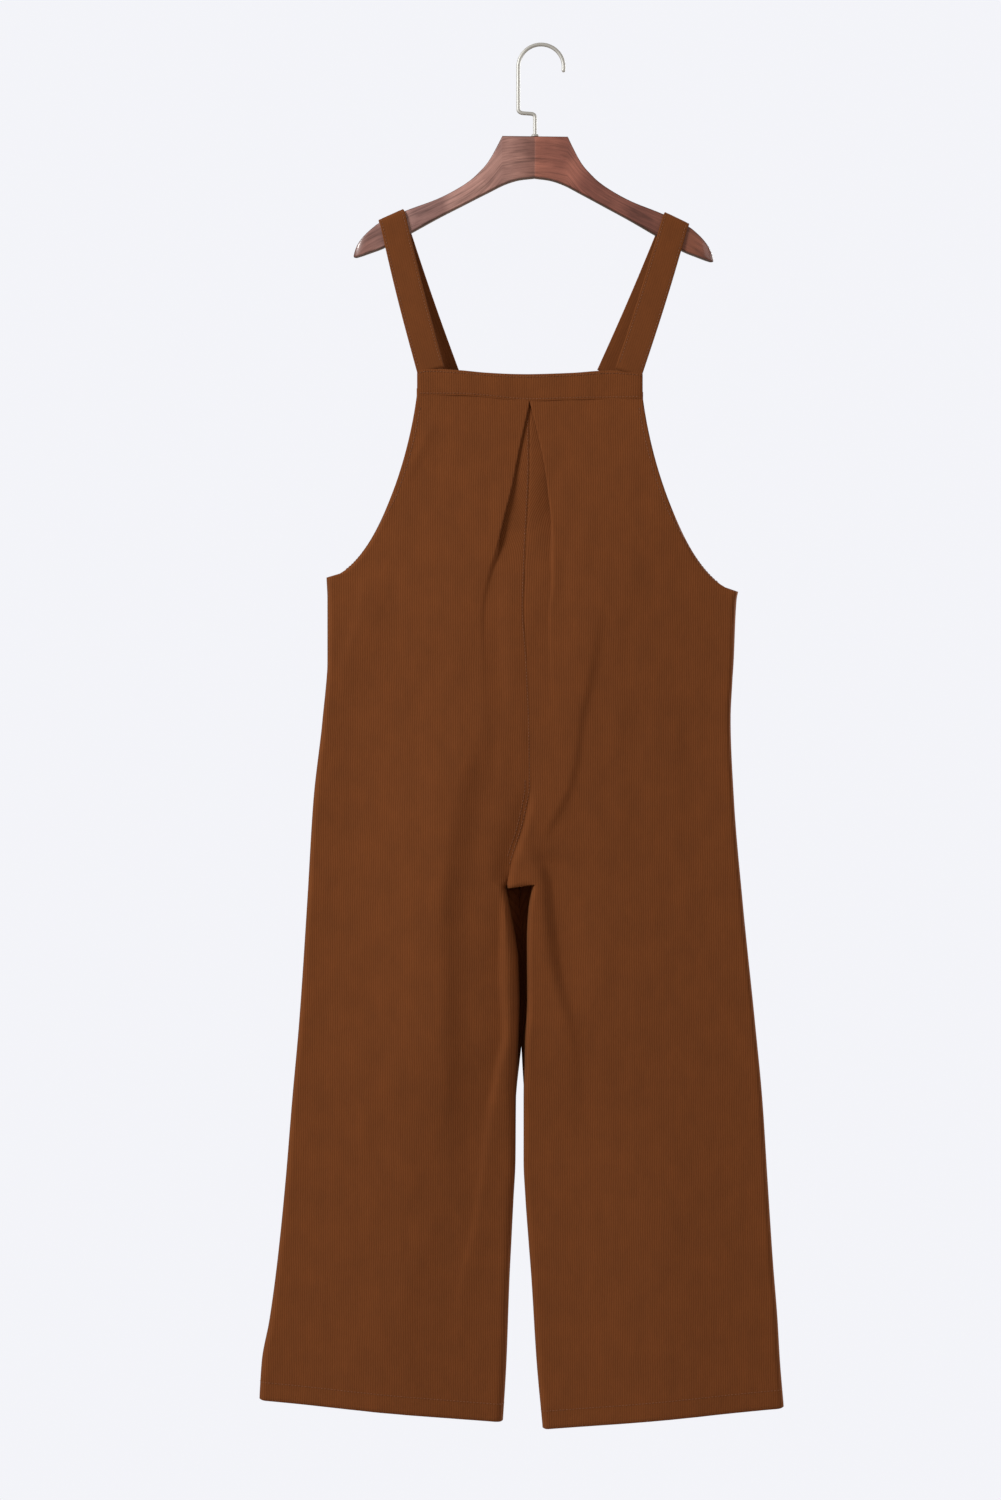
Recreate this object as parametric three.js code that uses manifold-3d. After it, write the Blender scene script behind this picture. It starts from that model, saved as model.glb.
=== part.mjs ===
// Bib overalls of brown corduroy with wide legs, on a wooden hanger with a wire hook.
// Millimetres, +Z up. The front of the garment faces -Y, and -X is its left side as seen.
// The origin is the top of the opening of the hook, where a rail carries it.
// A "drop" is a distance below the origin, and "side" is -1 on the left and 1 on the right.

import * as THREE from "three";
import { mergeVertices } from "three/addons/utils/BufferGeometryUtils.js";
import Module from "manifold-3d";

// Cloth
const CLOTH = 1.2;
const SEAM_GAP = 0.3;
const BAND_WALL = 3.4;
const STRAP_WALL = 2;
const STRAP_WIDTH = 29;

// Levels at which a panel is set out from its inner edge (centre seam or inner leg) to its side.
// dip is how much lower the level runs close to the inner edge, within its reach.
const LEVELS = [
  { at: "armpit", left: [568.5, 561], right: [568.5, 576], dip: 0, reach: 20, steps: 9 },
  { at: "waist", left: [752, 748], right: [752, 756], dip: 0, reach: 20, steps: 6 },
  { at: "rise", left: [846, 844], right: [846, 848], dip: 0, reach: 20, steps: 3 },
  { at: "fork curve", left: [869, 868], right: [869, 870], dip: 4, reach: 18, steps: 2 },
  { at: "fork point", left: [880, 879], right: [880, 881], dip: 7, reach: 18, steps: 2 },
  { at: "fork end", left: [890, 888], right: [887, 888], dip: 0, reach: 18, steps: 1 },
  { at: "thigh", left: [965, 963], right: [965, 965], dip: 0, reach: 18, steps: 4 },
  { at: "hem turn", left: [1421, 1400], right: [1428, 1408], dip: 3, reach: 150, steps: 10 },
  { at: "hem fold", left: [1421.8, 1400.8], right: [1428.8, 1408.8], dip: 3, reach: 150, steps: 1 },
  { at: "hem", left: [1446, 1425.7], right: [1453.5, 1434.2], dip: 3, reach: 150, steps: 1 },
];
const UNDER_FORK = ["fork end", "thigh", "hem turn", "hem fold", "hem"];
const TURNED_HEM = ["hem fold", "hem"];

// Side edges below the armpits
const SIDE_EDGES = [
  { drop: 561, left: -226, right: 213 },
  { drop: 584, left: -225, right: 206 },
  { drop: 648, left: -225, right: 203 },
  { drop: 711, left: -230, right: 199.5 },
  { drop: 795, left: -239.5, right: 203 },
  { drop: 901, left: -246, right: 212 },
  { drop: 1028, left: -254.5, right: 225 },
  { drop: 1112, left: -262, right: 233 },
  { drop: 1197, left: -269, right: 238.5 },
  { drop: 1281, left: -277.5, right: 244 },
  { drop: 1344, left: -286, right: 249 },
  { drop: 1387, left: -294, right: 251.5 },
  { drop: 1435, left: -297, right: 255.5 },
];

// Armholes run from the end of a band to the top of a side seam.
const ARMHOLE = { straight: 0.25, roundness: 1.9, closing: 100 };
const ARMPIT = { left: { across: -226, drop: 561 }, right: { across: 209.5, drop: 576 } };

// Seams down the middle of the front and the back, as far as the fork
const CENTRE_SEAM = [
  { drop: 376, front: -12, back: -13 },
  { drop: 437, front: -12, back: -13 },
  { drop: 532, front: -16, back: -14 },
  { drop: 595, front: -18, back: -14 },
  { drop: 648, front: -14.5, back: -14 },
  { drop: 711, front: -11.5, back: -14 },
  { drop: 780, front: -10.5, back: -15 },
  { drop: 801, front: -14, back: -18 },
  { drop: 825, front: -19.5, back: -23 },
  { drop: 848, front: -27, back: -29 },
  { drop: 867, front: -32.5, back: -33.5 },
  { drop: 887, front: -36.5, back: -36.5 },
];

// Inner edges of the legs, under the fork
const INNER_LEGS = [
  { drop: 887, left: -37.4, right: -9.5 },
  { drop: 919, left: -31.5, right: -13.5 },
  { drop: 943, left: -27, right: -14.5 },
  { drop: 964, left: -24.5, right: -14.5 },
  { drop: 1007, left: -23.2, right: -14.5 },
  { drop: 1049, left: -24.3, right: -16.9 },
  { drop: 1112, left: -26.9, right: -17.9 },
  { drop: 1175, left: -27.4, right: -17.9 },
  { drop: 1218, left: -29.6, right: -15.8 },
  { drop: 1260, left: -31.7, right: -12.7 },
  { drop: 1302, left: -33.8, right: -9.5 },
  { drop: 1387, left: -36.9, right: -4.2 },
  { drop: 1455, left: -41, right: 2 },
];

// Depth of the front and back from the plane between them, and the length over which each
// section rounds off at the side and at the inner leg
const DEPTHS = [
  { drop: 376, front: 12, back: 12, side: 40, inner: 18 },
  { drop: 440, front: 16, back: 14, side: 45, inner: 18 },
  { drop: 520, front: 21, back: 16, side: 50, inner: 18 },
  { drop: 600, front: 24, back: 18, side: 60, inner: 18 },
  { drop: 700, front: 22, back: 19, side: 62, inner: 18 },
  { drop: 886, front: 19, back: 19, side: 62, inner: 18 },
  { drop: 1000, front: 19, back: 19, side: 62, inner: 28 },
  { drop: 1200, front: 20, back: 20, side: 66, inner: 40 },
  { drop: 1455, front: 23, back: 22, side: 70, inner: 50 },
];
const SIDE_ROUND = 2;
const INNER_ROUND = 2.3;
const FORK = { end: 887, turned: 22, roundness: 2.2 };
const GAP_COVER = { half: 1.15, until: 1036, gone: 1075, turn: 0.3 };

// Inverted box pleat at the middle of the front. Each half is a Z-fold: edge is how far its
// outer fold lies from the centre seam, length is the cloth that returns under it, turn is the
// angle of its folds in degrees and bend their radius.
const PLEAT_LEFT = [
  { drop: 376, edge: 1, length: 26, turn: 180, bend: 0.76 },
  { drop: 437, edge: 12, length: 20, turn: 178, bend: 1.2 },
  { drop: 479, edge: 20, length: 14, turn: 170, bend: 1.6 },
  { drop: 511, edge: 27, length: 6, turn: 155, bend: 2 },
  { drop: 535, edge: 31, length: 2, turn: 115, bend: 2.4 },
  { drop: 560, edge: 35, length: 0.5, turn: 75, bend: 4 },
  { drop: 590, edge: 37, length: 0, turn: 42, bend: 9 },
  { drop: 648, edge: 36, length: 0, turn: 20, bend: 14 },
  { drop: 753, edge: 34, length: 0, turn: 8, bend: 14 },
  { drop: 840, edge: 30, length: 0, turn: 0, bend: 14 },
];
const PLEAT_RIGHT = [
  { drop: 376, edge: 1, length: 26, turn: 180, bend: 0.76 },
  { drop: 416, edge: 11, length: 21, turn: 180, bend: 1.2 },
  { drop: 458, edge: 19, length: 16, turn: 170, bend: 1.6 },
  { drop: 484, edge: 22, length: 9, turn: 160, bend: 1.8 },
  { drop: 502, edge: 25, length: 4, turn: 130, bend: 2.2 },
  { drop: 524, edge: 27, length: 1.5, turn: 90, bend: 3 },
  { drop: 563, edge: 28, length: 0, turn: 44, bend: 7 },
  { drop: 600, edge: 24, length: 0, turn: 32, bend: 8 },
  { drop: 660, edge: 22, length: 0, turn: 20, bend: 8 },
  { drop: 753, edge: 20, length: 0, turn: 0, bend: 8 },
];

// Largest folds of the front: across lists where each runs at even steps from top to bottom,
// rise is how far it stands out, and left and right are the widths of its two slopes.
const FOLDS = [
  { name: "hip step", top: 570, bottom: 848, across: [65, 53, 36, 1], rise: 6, left: 60, right: 18 },
  { name: "trough", top: 470, bottom: 1120, across: [-107, -97, -93, -84], rise: -5, left: 28, right: 26 },
  { name: "left thigh", top: 810, bottom: 1160, across: [-146, -144, -140], rise: 4, left: 36, right: 36 },
  { name: "left leg", top: 890, bottom: 1390, across: [-44, -42, -69, -97], rise: 6, left: 28, right: 18 },
  { name: "right leg", top: 872, bottom: 1195, across: [12, 20, 34, 47], rise: -7, left: 16, right: 20 },
  { name: "left armpit", top: 556, bottom: 660, across: [-178, -192, -206], rise: 3, left: 22, right: 22 },
];

// Bands: the upper edge of each, and the seam to the panels that it shares with them
const FRONT_BAND = [
  { across: -130.5, top: 343.6, seam: 370.4 },
  { across: -120, top: 341.5, seam: 370.4 },
  { across: -85, top: 343.3, seam: 370.6 },
  { across: -57, top: 345.8, seam: 372.6 },
  { across: -30, top: 347.1, seam: 375.4 },
  { across: -12, top: 347.3, seam: 376.4 },
  { across: 32, top: 346, seam: 375.2 },
  { across: 72, top: 343.4, seam: 374.5 },
  { across: 96, top: 344.6, seam: 374.2 },
  { across: 106.8, top: 347, seam: 374.1 },
];
const BACK_BAND = [
  { across: -115, top: 343.4, seam: 371.2 },
  { across: -85, top: 343.4, seam: 371.4 },
  { across: -13, top: 346.5, seam: 374.6 },
  { across: 58, top: 343.6, seam: 373 },
  { across: 92, top: 343.8, seam: 372.8 },
];
const BAND_DEPTH = 11.6;

// Straps: where the middle of each leaves the bands and where it crosses the hanger
const STRAPS = [
  { name: "strap_left", front: -116, top: -157.5, back: -100.4 },
  { name: "strap_right", front: 91.6, top: 142.5, back: 73 },
];

// Hanger: half of its outline from the middle outward, turned a little as it hangs
const HANGER = { across: -6.3, thick: 12, edge: 2.6, tilt: 0.7, headTop: 95.6, headHalf: 34.5 };
const HANGER_FLANK = [
  { out: 40.4, drop: 107.5 },
  { out: 46.6, drop: 119 },
  { out: 52, drop: 127 },
  { out: 58, drop: 133.5 },
  { out: 66, drop: 141.3 },
  { out: 77.6, drop: 149.6 },
  { out: 101, drop: 162.3 },
  { out: 134, drop: 175.1 },
  { out: 152, drop: 183 },
  { out: 164, drop: 189.3 },
  { out: 174, drop: 197.5 },
  { out: 180.5, drop: 204.3 },
  { out: 186, drop: 212 },
];
const HANGER_TIP = [
  { out: 189.6, drop: 220.4 },
  { out: 189, drop: 224.3 },
  { out: 185.4, drop: 225.2 },
];
const HANGER_BELLY = [
  { out: 175, drop: 221.3 },
  { out: 159, drop: 215.2 },
  { out: 130, drop: 199 },
  { out: 100, drop: 182 },
  { out: 75, drop: 168.8 },
  { out: 50, drop: 155.7 },
  { out: 28, drop: 144.8 },
  { out: 15, drop: 141 },
  { out: 0, drop: 139.2 },
];

// Hook: a bent wire with its shank in a drilled hole of the hanger
const HOOK = { wire: 4, radius: 24, tipAngle: -8, crank: 70.8, crankBend: 4.6 };
const SHANK = { depth: 18, hole: 4.6, collar: 9, collarThick: 2.4 };
const HOOK_STEPS = 60;
const WIRE_SIDES = 8;

const LEFT = -1;
const RIGHT = 1;
const FRONT = -1;
const BACK = 1;
const UNDERLAY_POINTS = 2;
const BEND_POINTS = 4;
const FRONT_COLUMNS = 20;
const BACK_COLUMNS = 14;
const END_COLUMNS = 4;
const QUARTER = Math.PI / 2;

const MATERIALS = {
  corduroy: new THREE.MeshStandardMaterial({ color: 0x6a3b1f, roughness: 0.95, metalness: 0 }),
  wood: new THREE.MeshStandardMaterial({ color: 0x3a140b, roughness: 0.35, metalness: 0 }),
  nickel: new THREE.MeshStandardMaterial({ color: 0xb9b6b0, roughness: 0.25, metalness: 1 }),
};

const clamp = THREE.MathUtils.clamp;
const lerp = THREE.MathUtils.lerp;
const smooth = (t) => THREE.MathUtils.smoothstep(t, 0, 1);
const radians = THREE.MathUtils.degToRad;

// Monotone cubic through two columns of a table
function curve(rows, from, to) {
  const x = rows.map((row) => row[from]);
  const y = rows.map((row) => row[to]);
  const last = x.length - 1;
  const rise = x.slice(1).map((value, i) => (y[i + 1] - y[i]) / (value - x[i]));
  const slope = x.map((_, i) => {
    if (i === 0 || i === last) {
      return rise[i === 0 ? 0 : last - 1];
    }
    const product = rise[i - 1] * rise[i];
    return product > 0 ? (2 * product) / (rise[i - 1] + rise[i]) : 0;
  });
  return (at) => {
    const here = clamp(at, x[0], x[last]);
    const after = x.findIndex((value, i) => i > 0 && here <= value);
    const i = after - 1;
    const width = x[after] - x[i];
    const t = (here - x[i]) / width;
    const bend = t * t * (3 - 2 * t);
    const leave = t * (1 - t) * (1 - t) * width * slope[i];
    const arrive = t * t * (t - 1) * width * slope[after];
    return lerp(y[i], y[after], bend) + leave + arrive;
  };
}

function curves(rows, from, names) {
  return Object.fromEntries(names.map((name) => [name, curve(rows, from, name)]));
}

const sideEdge = curves(SIDE_EDGES, "drop", ["left", "right"]);
const innerLeg = curves(INNER_LEGS, "drop", ["left", "right"]);
const centreSeam = curves(CENTRE_SEAM, "drop", ["front", "back"]);
const depths = curves(DEPTHS, "drop", ["front", "back", "side", "inner"]);
const bandEdges = {
  front: curves(FRONT_BAND, "across", ["top", "seam"]),
  back: curves(BACK_BAND, "across", ["top", "seam"]),
};
const pleats = {
  left: curves(PLEAT_LEFT, "drop", ["edge", "length", "turn", "bend"]),
  right: curves(PLEAT_RIGHT, "drop", ["edge", "length", "turn", "bend"]),
};
const folds = FOLDS.map((fold) => {
  const path = fold.across.map((across, i) => ({
    drop: lerp(fold.top, fold.bottom, i / (fold.across.length - 1)),
    across,
  }));
  return { ...fold, path: curve(path, "drop", "across") };
});

const sideName = (side) => (side === LEFT ? "left" : "right");
const faceName = (face) => (face === FRONT ? "front" : "back");

// Side edge of a panel: the armhole above the armpit and the side seam below it
function outerEdge(side, face, drop) {
  const armpit = ARMPIT[sideName(side)];
  if (drop >= armpit.drop) {
    return sideEdge[sideName(side)](drop);
  }
  const rows = face === FRONT ? FRONT_BAND : BACK_BAND;
  const end = side === LEFT ? rows[0] : rows[rows.length - 1];
  const t = clamp((drop - end.seam) / (armpit.drop - end.seam), 0, 1);
  const round = 1 - (1 - t ** ARMHOLE.roundness) ** (1 / ARMHOLE.roundness);
  return lerp(end.across, armpit.across, ARMHOLE.straight * t + (1 - ARMHOLE.straight) * round);
}

function innerEdge(side, face, drop, underFork) {
  const seam = centreSeam[faceName(face)](drop) + (side * SEAM_GAP) / 2;
  return underFork ? innerLeg[sideName(side)](drop) : seam;
}

// How far the folds of the front lift a point of it
function foldRise(across, drop) {
  return folds.reduce((sum, fold) => {
    const along = (drop - fold.top) / (fold.bottom - fold.top);
    const fade = smooth(along / 0.3) * smooth((1 - along) / 0.35);
    const off = across - fold.path(drop);
    const width = off < 0 ? fold.left : fold.right;
    return sum + fold.rise * fade * Math.exp(-((off / width) ** 2));
  }, 0);
}

// How far the inner thigh of the back is pushed into the gap between the legs, so that the
// farthest of its points nearly meets the other leg there
function gapCover(drop, outs, tuck) {
  const reach = (innerLeg.right(drop) - innerLeg.left(drop)) / 2 - GAP_COVER.half;
  const opened = smooth((drop - GAP_COVER.until) / (GAP_COVER.gone - GAP_COVER.until));
  let cover = reach;
  for (let i = 0; i < 12; i += 1) {
    const farthest = Math.max(...outs.map((out) => cover * tuck(out) - out));
    cover += reach - farthest;
  }
  return cover * (1 - opened);
}

// Rounded end of a section: 0 at the edge and 1 once the cloth is flat
function rounding(distance, length, power) {
  const t = clamp(distance / length, 0, 1);
  return (1 - (1 - t) ** power) ** (1 / power);
}

// Route of the cloth through one half of the pleat, by the length of cloth from the seam:
// out is the distance from the seam and back how far the point lies behind the outer layer.
function pleatRoute(side, drop) {
  const pleat = pleats[sideName(side)];
  const turn = radians(pleat.turn(drop));
  const bend = pleat.bend(drop);
  const length = pleat.length(drop);
  const edge = pleat.edge(drop);
  const first = edge + bend * (1 - 2 * Math.sin(turn)) - length * Math.cos(turn);
  const deep = 2 * bend * (1 - Math.cos(turn)) + length * Math.sin(turn);
  const arc = bend * turn;
  const at = (cloth) => {
    const a = clamp(cloth - first, 0, arc);
    const b = clamp(cloth - first - arc, 0, length);
    const c = clamp(cloth - first - arc - length, 0, arc);
    const rest = Math.max(cloth - first - 2 * arc - length, 0);
    const headA = bend > 0 ? a / bend : 0;
    const headC = turn - (bend > 0 ? c / bend : 0);
    const out = Math.min(cloth, first) + bend * Math.sin(headA) + b * Math.cos(turn)
      + bend * (Math.sin(turn) - Math.sin(headC)) + rest;
    const back = deep - bend * (1 - Math.cos(headA)) - b * Math.sin(turn)
      - bend * (Math.cos(headC) - Math.cos(turn));
    return { out, back };
  };
  return { at, first, arc, length, total: (span) => span - edge - bend + first + 2 * arc + length };
}

// Lengths of cloth at which the columns of a section stand, evenly but closer at round ends
function columnStations(count, total, innerLength, outerLength) {
  const middle = count - 1 - 2 * END_COLUMNS;
  return Array.from({ length: count }, (_, i) => {
    if (i <= END_COLUMNS) {
      return innerLength * (1 - Math.cos((i / END_COLUMNS) * QUARTER));
    }
    if (i >= count - 1 - END_COLUMNS) {
      return total - outerLength * (1 - Math.cos(((count - 1 - i) / END_COLUMNS) * QUARTER));
    }
    return lerp(innerLength, total - outerLength, (i - END_COLUMNS) / middle);
  });
}

function pleatStations(count, route, total, outerLength) {
  const { first, arc, length } = route;
  const stations = [];
  for (let i = 0; i < UNDERLAY_POINTS; i += 1) {
    stations.push((first * i) / UNDERLAY_POINTS);
  }
  for (let i = 0; i <= BEND_POINTS; i += 1) {
    stations.push(first + (arc * i) / BEND_POINTS);
  }
  const second = first + arc + Math.max(length, 0.5);
  for (let i = 0; i <= BEND_POINTS; i += 1) {
    stations.push(second + (arc * i) / BEND_POINTS);
  }
  const start = second + arc;
  const left = count - stations.length;
  for (let i = 1; i <= left; i += 1) {
    const t = i / left;
    stations.push(start + (total - start) * t - (outerLength * Math.sin(Math.PI * t) * t) / 4);
  }
  return stations;
}

// All the levels of a panel, from the seam under its band to its hem
function levelsOf(side, face) {
  const band = bandEdges[faceName(face)];
  const start = { runs: (across) => band.seam(across) + SEAM_GAP, underFork: false, turned: false };
  const ends = LEVELS.map((level) => {
    const [inner, outer] = level[sideName(side)];
    const runs = (across, out, span) => lerp(inner, outer, out / span)
      + level.dip * Math.exp(-((out / level.reach) ** 2));
    return { ...level, runs };
  });
  const levels = [start];
  let previous = start;
  for (const end of ends) {
    for (let i = 1; i <= end.steps; i += 1) {
      const from = previous;
      const t = i / end.steps;
      levels.push({
        underFork: UNDER_FORK.includes(end.at),
        turned: TURNED_HEM.includes(end.at),
        runs: (across, out, span) => lerp(from.runs(across, out, span), end.runs(across, out, span), t),
      });
    }
    previous = end;
  }
  return levels;
}

// Drop at which a level meets an edge, found by a few steps because the edge depends on it
function meet(level, span, out, edgeAt) {
  let drop = level.runs(edgeAt(600), out, span);
  for (let i = 0; i < 6; i += 1) {
    drop = level.runs(edgeAt(drop), out, span);
  }
  return drop;
}

// One section of a panel as points of the middle of its wall
function section(side, face, level, count) {
  const wide = 200;
  const innerDrop = meet(level, wide, 0, (drop) => innerEdge(side, face, drop, level.underFork));
  const outerDrop = meet(level, wide, wide, (drop) => outerEdge(side, face, drop));
  const inner = innerEdge(side, face, innerDrop, level.underFork);
  const span = Math.abs(outerEdge(side, face, outerDrop) - inner);
  const armpit = ARMPIT[sideName(side)];
  const closedOut = smooth((outerDrop - armpit.drop + ARMHOLE.closing) / ARMHOLE.closing);
  const toFork = Math.max(FORK.end - innerDrop, 0);
  const closedIn = level.underFork ? 1 : 1 - rounding(toFork, FORK.turned, FORK.roundness);
  const route = pleatRoute(side, innerDrop);
  const pleated = face === FRONT ? 1 - smooth((innerDrop - 600) / 90) : 0;
  const total = face === FRONT ? route.total(span) : span;
  const roundIn = depths.inner(innerDrop);
  const roundOut = Math.min(depths.side(outerDrop), span / 2);
  const even = columnStations(count, total, lerp(span / 8, roundIn, closedIn), roundOut);
  const shaped = face === FRONT ? pleatStations(count, route, total, roundOut) : even;
  const aside = level.underFork ? 0 : (closedIn * CLOTH) / 2;
  const tuck = (out) => smooth(out / roundIn / GAP_COVER.turn)
    * (1 - smooth((out - roundIn) / (span / 2)));
  const cover = face === BACK && level.underFork ? gapCover(innerDrop, even, tuck) : 0;
  const points = even.map((station, i) => {
    const cloth = lerp(station, shaped[i], pleated);
    const { out, back } = face === FRONT ? route.at(cloth) : { out: cloth, back: 0 };
    let across = inner + side * (out + aside * (1 - out / span));
    const drop = level.runs(across, out, span);
    const depth = depths[faceName(face)](drop) + (face === FRONT ? foldRise(across, drop) : 0);
    const roundedOut = 1 - closedOut * (1 - rounding(span - out, roundOut, SIDE_ROUND));
    const roundedIn = 1 - closedIn * (1 - rounding(out, roundIn, INNER_ROUND));
    across -= side * cover * tuck(out);
    const standing = SEAM_GAP / 2 + (depth - SEAM_GAP / 2) * roundedOut * roundedIn;
    return new THREE.Vector3(across, face * (standing - back * roundedIn), -drop);
  });
  return { points, closedIn, closedOut, turned: level.turned };
}

// Directions square to a grid of points, with the ends kept in the planes of their seams
function normalsOf(sections, face) {
  const rows = sections.length;
  const step = (a, b) => new THREE.Vector3().subVectors(b, a).normalize();
  return sections.map((row, i) => row.points.map((point, j) => {
    const above = sections[Math.max(i - 1, 0)].points[j];
    const below = sections[Math.min(i + 1, rows - 1)].points[j];
    const before = row.points[Math.max(j - 1, 0)];
    const after = row.points[Math.min(j + 1, row.points.length - 1)];
    const down = new THREE.Vector3();
    const along = new THREE.Vector3();
    if (i > 0) down.add(step(above, point));
    if (i < rows - 1) down.add(step(point, below));
    if (j > 0) along.add(step(before, point));
    if (j < row.points.length - 1) along.add(step(point, after));
    const normal = new THREE.Vector3().crossVectors(along, down).normalize();
    if (i === 0 || i === rows - 1) normal.z = 0;
    if (j === 0) {
      normal.x *= row.closedIn;
      normal.y *= 1 - row.closedIn;
    }
    if (j === row.points.length - 1) {
      normal.y *= 1 - row.closedOut;
    }
    return normal.normalize();
  }));
}

// Closed wall around a grid of points. The last rows of a hem are two layers thick.
function wall(grid, normals, thick, extra = () => 0) {
  const rows = grid.length;
  const columns = grid[0].length;
  const position = [];
  const index = [];
  for (const layer of [1, -1]) {
    grid.forEach((row, i) => row.forEach((point, j) => {
      const away = layer > 0 ? thick / 2 : -thick / 2 - extra(i);
      position.push(...point.clone().addScaledVector(normals[i][j], away).toArray());
    }));
  }
  const at = (layer, i, j) => layer * rows * columns + i * columns + j;
  const quad = (a, b, c, d) => index.push(a, b, c, a, c, d);
  for (let i = 0; i < rows - 1; i += 1) {
    for (let j = 0; j < columns - 1; j += 1) {
      quad(at(0, i, j), at(0, i, j + 1), at(0, i + 1, j + 1), at(0, i + 1, j));
      quad(at(1, i, j), at(1, i + 1, j), at(1, i + 1, j + 1), at(1, i, j + 1));
    }
  }
  for (let j = 0; j < columns - 1; j += 1) {
    quad(at(0, 0, j), at(1, 0, j), at(1, 0, j + 1), at(0, 0, j + 1));
    quad(at(0, rows - 1, j), at(0, rows - 1, j + 1), at(1, rows - 1, j + 1), at(1, rows - 1, j));
  }
  for (let i = 0; i < rows - 1; i += 1) {
    quad(at(0, i, 0), at(0, i + 1, 0), at(1, i + 1, 0), at(1, i, 0));
    const j = columns - 1;
    quad(at(0, i, j), at(1, i, j), at(1, i + 1, j), at(0, i + 1, j));
  }
  const geometry = new THREE.BufferGeometry();
  geometry.setAttribute("position", new THREE.Float32BufferAttribute(position, 3));
  geometry.setIndex(index);
  return facingOut(geometry);
}

// Turns the triangles over where their volume comes out negative
function facingOut(geometry) {
  const p = geometry.attributes.position;
  const index = Array.from(geometry.index.array);
  const corner = (k) => new THREE.Vector3().fromBufferAttribute(p, index[k]);
  let volume = 0;
  for (let k = 0; k < index.length; k += 3) {
    volume += corner(k).dot(corner(k + 1).cross(corner(k + 2)));
  }
  if (volume < 0) {
    for (let k = 0; k < index.length; k += 3) {
      [index[k + 1], index[k + 2]] = [index[k + 2], index[k + 1]];
    }
    geometry.setIndex(index);
  }
  return geometry;
}

function panel(side, face) {
  const count = face === FRONT ? FRONT_COLUMNS : BACK_COLUMNS;
  const sections = levelsOf(side, face).map((level) => section(side, face, level, count));
  const normals = normalsOf(sections, face);
  const outward = side * face > 0 ? -1 : 1;
  const turned = normals.map((row) => row.map((normal) => normal.multiplyScalar(outward)));
  const extra = (i) => (sections[i].turned ? CLOTH : 0);
  return wall(sections.map((row) => row.points), turned, CLOTH, extra);
}

function band(rows, face) {
  const edges = bandEdges[faceName(face)];
  const count = 15;
  const heights = [0, 0.5, 1];
  const start = rows[0].across;
  const end = rows[rows.length - 1].across;
  const grid = heights.map((height) => Array.from({ length: count }, (_, j) => {
    const across = lerp(start, end, j / (count - 1));
    const drop = lerp(edges.top(across), edges.seam(across), height);
    return new THREE.Vector3(across, face * BAND_DEPTH, -drop);
  }));
  const normals = grid.map((row) => row.map(() => new THREE.Vector3(0, face, 0)));
  return wall(grid, normals, BAND_WALL);
}

// Drop of the upper edge of the hanger, and its slope, at a place across it
const hangerFlank = curve(HANGER_FLANK, "out", "drop");
function hangerTop(across) {
  const tilt = Math.tan(radians(HANGER.tilt));
  const level = hangerFlank(Math.abs(across - HANGER.across));
  const out = across - HANGER.across + tilt * (level - HANGER.headTop);
  return hangerFlank(Math.abs(out)) + tilt * out;
}

// A strap runs up from the front band, round the hanger and down to the back band.
function strap({ front, top, back }) {
  const slope = (hangerTop(top + 5) - hangerTop(top - 5)) / 10;
  const widthTop = new THREE.Vector3(1, 0, -slope).normalize();
  const up = new THREE.Vector3(slope, 0, 1).normalize();
  const clear = SEAM_GAP + STRAP_WALL / 2;
  const half = HANGER.thick / 2 + clear;
  const corner = HANGER.edge + clear;
  const crest = new THREE.Vector3(top, 0, -hangerTop(top)).addScaledVector(up, clear);
  const grid = [];
  const normals = [];
  const add = (centre, width, outward) => {
    grid.push([-1, 0, 1].map((k) => centre.clone().addScaledVector(width, (k * STRAP_WIDTH) / 2)));
    normals.push([outward, outward, outward]);
  };
  const branch = (face, foot) => {
    const edges = bandEdges[faceName(face)];
    const steps = 7;
    const shoulder = crest.clone().addScaledVector(up, -corner).setY(face * half);
    for (let i = 0; i < steps; i += 1) {
      const t = i / steps;
      const straight = new THREE.Vector3(foot - shoulder.x, 0, -edges.top(foot) - shoulder.z);
      const square = new THREE.Vector3(-straight.z, 0, straight.x).normalize();
      const width = square.multiplyScalar(Math.sign(square.x)).lerp(widthTop, t ** 2).normalize();
      const flat = new THREE.Vector3(1, 0, 0).lerp(width, smooth(t * 3)).normalize();
      const centre = new THREE.Vector3(
        lerp(foot, shoulder.x, t),
        face * lerp(BAND_DEPTH, half, smooth(t)),
        lerp(-edges.top(foot) + SEAM_GAP * 3, shoulder.z, t),
      );
      const row = [-1, 0, 1].map((k) => {
        const point = centre.clone().addScaledVector(flat, (k * STRAP_WIDTH) / 2);
        if (i === 0) point.z = -edges.top(point.x) + SEAM_GAP;
        return point;
      });
      grid.push(row);
      const outward = new THREE.Vector3(0, face, 0);
      normals.push([outward, outward, outward]);
    }
  };
  branch(FRONT, front);
  const bends = 4;
  for (const face of [FRONT, BACK]) {
    for (let i = 0; i <= bends; i += 1) {
      const angle = ((face === FRONT ? i : bends - i) * QUARTER) / bends;
      const outward = new THREE.Vector3(0, face * Math.cos(angle), 0);
      outward.addScaledVector(up, Math.sin(angle));
      const middle = crest.clone().addScaledVector(up, -corner).setY(face * (half - corner));
      add(middle.addScaledVector(outward, corner), widthTop, outward);
    }
  }
  const backBranch = grid.length;
  branch(BACK, back);
  const reordered = grid.splice(backBranch).reverse();
  const reorderedNormals = normals.splice(backBranch).reverse();
  return wall([...grid, ...reordered], [...normals, ...reorderedNormals], STRAP_WALL);
}

const wasm = await Module();
wasm.setup();

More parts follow.
